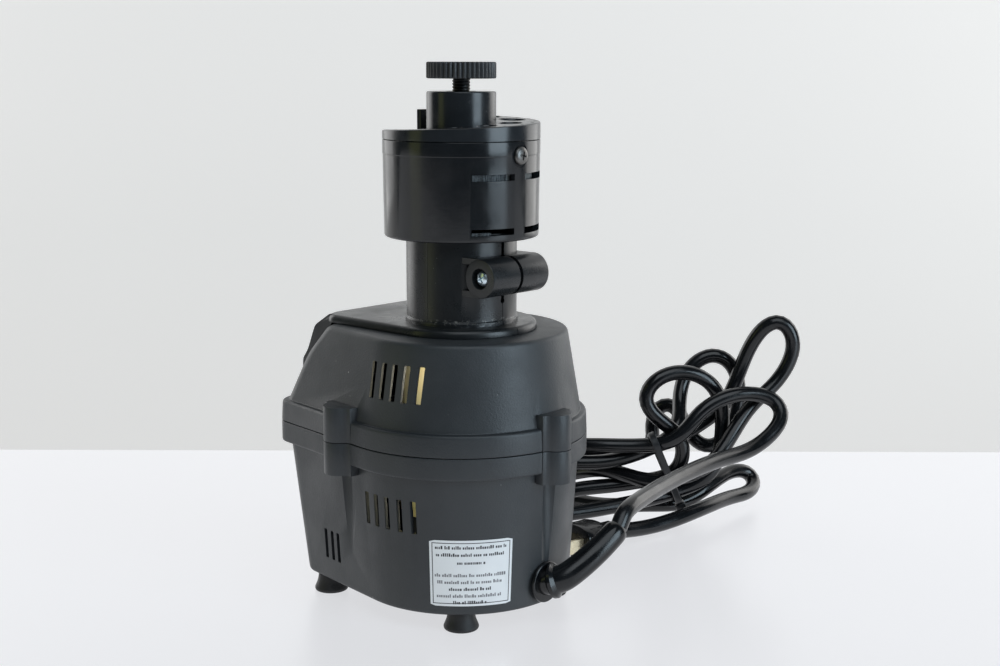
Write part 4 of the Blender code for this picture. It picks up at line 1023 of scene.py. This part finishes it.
def cord_tie(surface, path):
    """A strap all round the bundle, with its ratchet head."""
    axis = Vector(TIE_AXIS).normalized()
    across = Vector(Z).cross(axis).normalized()
    over = axis.cross(across)

    def at(x, y, side):
        return Vector(TIE_CENTRE) + x * across + y * over + side * axis

    loop = tie_loop(path, across, over, axis)
    middle = sum(loop, Vector((0, 0))) / len(loop)
    mesh, rings = bmesh.new(), []
    low, outward = min(range(len(loop)), key=lambda i: loop[i].y), []
    shoulder = TIE_THICK - 0.4
    profile = ((0, -1), (shoulder, -1), (TIE_THICK, -0.75), (TIE_THICK, 0.75), (shoulder, 1), (0, 1))
    for i, point in enumerate(loop):
        along = loop[(i + 1) % len(loop)] - loop[i - 1]
        out = Vector((along.y, -along.x)).normalized()
        out = -out if out.dot(point - middle) < 0 else out
        outward.append(out)
        places = [at(*(point + lift * out), side * TIE_HALF_WIDTH) for lift, side in profile]
        rings.append([mesh.verts.new(spot) for spot in places])
    for here, there in zip(rings, rings[1:] + rings[:1]):
        for j in range(6):
            k = (j + 1) % 6
            mesh.faces.new((here[j], there[j], there[k], here[k]))
    strap = new_piece("bundle_strap", mesh, surface)
    foot, out = loop[low], outward[low]
    along = Vector((-out.y, out.x))
    plan = ((0, -3.2), (3.6, -2.8), (3.6, 2.8), (0, 3.2))
    corners = [foot + out * (shoulder + a) + along * b for a, b in plan]
    head = loft([[at(*corner, side) for corner in corners] for side in (-2.6, 2.6)])
    fuse(strap, soften(new_piece("tie_head", head, surface), 0.6, 3))
    return place(strap, "root", "tie", "cord_tie")


def plug(surface, brass):
    axis = Vector(PLUG_AXIS).normalized()
    side = Vector(Z).cross(axis)
    up = axis.cross(side)

    def section(along, half_width, half_height, power=2.6):
        ring = []
        for c, s in polygon(1, 56):
            x = half_width * math.copysign(abs(c) ** (2 / power), c)
            y = half_height * math.copysign(abs(s) ** (2 / power), s)
            ring.append(Vector(PLUG_TAIL) + along * axis + x * side + y * up)
        return ring

    sections = [section(0, 4.3, 4.3, 2), section(0.4, 4.7, 4.7, 2)]
    for ridge in (1.4, 3.2, 5.0):
        for along, radius in ((0, 4.9), (0.2, 5.5), (1.0, 5.5), (1.2, 4.9)):
            sections.append(section(ridge + along, radius, radius, 2))
    sections += [section(7.4, 5.6, 5.4, 2.1), section(8.4, 7.6, 6.3, 2.3)]
    grip = ((10.0, 9.9, 7.2), (12.5, 10.9, 7.8), (16.0, 10.6, 7.7), (20.0, 11.0, 7.8), (23.0, 11.4, 8.0),
            (23.7, 11.2, 7.8), (PLUG_LENGTH, 10.6, 7.2))
    sections += [section(*sizes) for sizes in grip]
    body = place(new_piece("plug_shell", loft(sections), surface), "root", "cord", "plug_body")
    face = Vector(PLUG_TAIL) + PLUG_LENGTH * axis
    outline = eased(oblong(0.3, -3.15, 16.3, 3.15), {1: 1.0, 2: 1.0}, 4)
    blades = []
    for number, offset in enumerate((-6.35, 6.35), 1):
        rings = []
        for thick in (-0.75, 0.75):
            rings.append([face + x * axis + (offset + thick) * side + y * up for x, y in outline])
        blade = new_piece(f"blade_{number}", loft(rings), brass)
        hole = lying(disc(1.5, -3, 3, 24), side, face + 12.5 * axis + offset * side)
        blades.append(place(cut(blade, hole), "root", "brass", f"plug_blade_{number}"))
    return [body, *blades]


# ---------------------------------------------------------------- stage


VIEW_AHEAD, VIEW_RIGHT = Vector((-0.7425, -0.6690, 0)), Vector((-0.6690, 0.7425, 0))


def camera():
    data = bpy.data.cameras.new("photo_view")
    data.lens, data.sensor_width, data.clip_start = 54.0, 36.0, 0.01
    made = linked("photo_view", data)
    made.location = (0.4499, 0.4270 + NECK_Y * MM, 0.2266)
    down, roll = math.radians(10.16), math.radians(0.15)
    ahead = VIEW_AHEAD * math.cos(down) - Vector(Z) * math.sin(down)
    made.rotation_euler = (ahead.to_track_quat("-Z", "Y") @ Quaternion(Z, roll)).to_euler()
    bpy.context.scene.camera = made


def lamp(name, place_at, aim, size, power, color):
    data = bpy.data.lights.new(name, "AREA")
    data.shape, data.size, data.size_y = "RECTANGLE", size[0], size[1]
    data.energy, data.color = power, color
    made = linked(name, data)
    made.location = place_at
    made.rotation_euler = (Vector(aim) - Vector(place_at)).to_track_quat("-Z", "Y").to_euler()


def pale(name, color, roughness, scale, glow):
    n = Nodes(name)
    tint = n.mix(n.span(n.noise(scale, 4.0), 0.3, 0.7), scaled(color, 0.985), scaled(color, 1.01))
    normal = n.bump(n.noise(420.0, 3.0), 0.00005, 0.15)
    return n.end(tint, roughness, normal, Emission_Color=(*color, 1.0), Emission_Strength=glow)


def stage():
    """A pale table top with a pale wall behind it, the room's lamps, and two small ones behind the vents."""
    ahead, right = VIEW_AHEAD.normalized(), VIEW_RIGHT.normalized()
    neck = Vector((0, NECK_Y * MM, 0))
    back, front, wide, thick = 0.246, -0.72, 2.8, -0.03
    plan = ((front, -wide), (front, wide), (back, wide), (back, -wide))
    corners = [neck + ahead * a + right * r for a, r in plan]
    table = bpy.data.meshes.new("table_top")
    table.from_pydata([(*c.xy, z) for z in (0.0, thick) for c in corners], [],
                      [(0, 1, 2, 3), (7, 6, 5, 4), (0, 4, 5, 1), (1, 5, 6, 2), (2, 6, 7, 3), (3, 7, 4, 0)])
    table.materials.append(pale("table_paint", (0.16, 0.161, 0.166), 0.3, 5.0, 4.0))
    wall = bpy.data.meshes.new("wall")
    far, low, high, half = 1.5, -1.5, 4, 5
    corners = [neck + ahead * far + right * r + Vector(Z) * z
               for r, z in ((-half, low), (half, low), (half, high), (-half, high))]
    wall.from_pydata([tuple(c) for c in corners], [], [(0, 1, 2, 3)])
    wall.materials.append(pale("wall_paint", (0.78, 0.764, 0.75), 0.9, 2.0, 0.65))
    for data in (table, wall):
        linked(data.name, data)
    world = bpy.data.worlds.new("room")
    world.use_nodes = True
    background = world.node_tree.nodes["Background"].inputs
    background["Color"].default_value = (0.70, 0.88, 1.0, 1.0)
    background["Strength"].default_value = 0.07
    bpy.context.scene.world = world
    bpy.context.scene.view_settings.view_transform = "Standard"
    lamp("window", (-0.20, 1.50, 0.52), (0, 0, 0.16), (0.80, 1.0), 12.0, (0.72, 0.88, 1.0))
    lamp("right_wall", (-1.58, 0.30, 0.45), (0, 0, 0.14), (1.0, 1.1), 6.0, (1.0, 0.99, 0.97))
    lamp("left_wall", (-0.15, -1.75, 0.45), (0, 0, 0.14), (1.5, 1.1), 7.0, (1.0, 1.0, 1.0))
    lamp("overhead", (0.75, 0.95, 1.75), (0, 0, 0.05), (1.6, 1.6), 13, (0.88, 0.95, 1.0))
    lamp("doorway", (1.35, -0.66, 0.35), (0, 0, 0.14), (0.5, 1.6), 1.3, (0.85, 0.9, 0.3))
    warm = (1.0, 0.93, 0.72)
    lamp("vent_light", to_frame((37.5, 20, 102)), to_frame((24, 4, 101)), (0.010, 0.018), 0.009, warm)
    lamp("low_vent_light", to_frame((38.5, 18, 49)), to_frame((24, 4, 49)), (0.010, 0.012), 0.005, warm)


# ---------------------------------------------------------------- assembly


def main():
    camera()
    housing = spark_plastic()
    bracket = glossy_plastic("bracket_gloss", (0.0095, 0.011, 0.0125), 0.29, (122.6, 124.4))
    head = glossy_plastic("head_gloss", (0.0085, 0.0098, 0.0115), 0.17)
    cap = glossy_plastic("cap_gloss", (0.0155, 0.0175, 0.0205), 0.2)
    knob = soft_black("knob_plastic", (0.030, 0.0325, 0.036), 0.42)
    rubber = soft_black("foot_rubber", (0.012, 0.012, 0.013), 0.55, 900.0, 0.00006, 0.2)
    cord = soft_black("cord_pvc", (0.0045, 0.0052, 0.0065), 0.20, 700.0, 0.00002, 0.03)
    tie = soft_black("tie_nylon", (0.014, 0.015, 0.017), 0.36)
    zinc = metal("zinc_bright", (0.72, 0.84, 0.92), 0.24)
    stainless = metal("stainless_dull", (0.17, 0.165, 0.16), 0.38, stain=0.5)
    steel = metal("steel_turned", (0.56, 0.56, 0.57), 0.34, (1.0, 1.0, 8.0))
    dark_steel = metal("steel_black", (0.06, 0.06, 0.062), 0.36, (1.0, 1.0, 8.0))
    brass = metal("brass_plate", (0.80, 0.72, 0.52), 0.3)
    gold = zinc_gold()
    sheet, dark, grey = paper(), ink("ink_dark", (0.03, 0.03, 0.035)), ink("ink_grey", (0.16, 0.16, 0.17))
    dust = rough_solid("packed_dust", (0.085, 0.10, 0.11), 0.95, 1500.0, 0.0003, 0.7)

    lead, line = power_cord(cord)
    sleeve = strain_relief(cord)
    strap = cord_tie(tie, line)
    ends = plug(cord, brass)

    lower_housing(housing)
    upper_housing(housing)
    neck_bracket(bracket)
    clamp_hardware(zinc, steel)
    feet(rubber)
    housing_screws(zinc)
    notice(sheet, dark, grey)
    switch(knob, bracket)
    head_housing(head)
    head_cap(cap)
    head_screws(stainless)
    packed_dust(dust)
    adjuster(knob, dark_steel)

    kept = {
        "can": gold, "steel": steel, "brass": brass, "knob": knob,
        "core": metal("core_lacquer", (0.30, 0.29, 0.30), 0.45, (1.0, 1.0, 40.0)),
        "copper": metal("copper_turned", (0.78, 0.42, 0.26), 0.3),
        "magnet": rough_solid("magnet_ferrite", (0.05, 0.05, 0.052), 0.7, 500.0, 0.0001),
        "stone": rough_solid("wheel_abrasive", (0.42, 0.41, 0.39), 0.9, 1600.0, 0.0002),
        "felt": rough_solid("filter_felt", (0.20, 0.20, 0.195), 0.95, 1200.0, 0.0003),
        "nylon": rough_solid("liner_nylon", (0.62, 0.61, 0.57), 0.45, 200.0, 0.00004, 0.08),
        "board": rough_solid("board_lacquer", (0.03, 0.13, 0.06), 0.4, 300.0, 0.00004, 0.2),
        "carbon": rough_solid("brush_carbon", (0.03, 0.03, 0.03), 0.6, 700.0, 0.0001),
    }
    slots = {row["node"]: row["material_slot"] for row in frame["record"]["subparts"]}
    for name, node in frame["nodes"].items():
        if not node.hide_render:
            node.data.materials.clear()
            node.data.materials.append(kept[slots[name]])
    stage()


main()
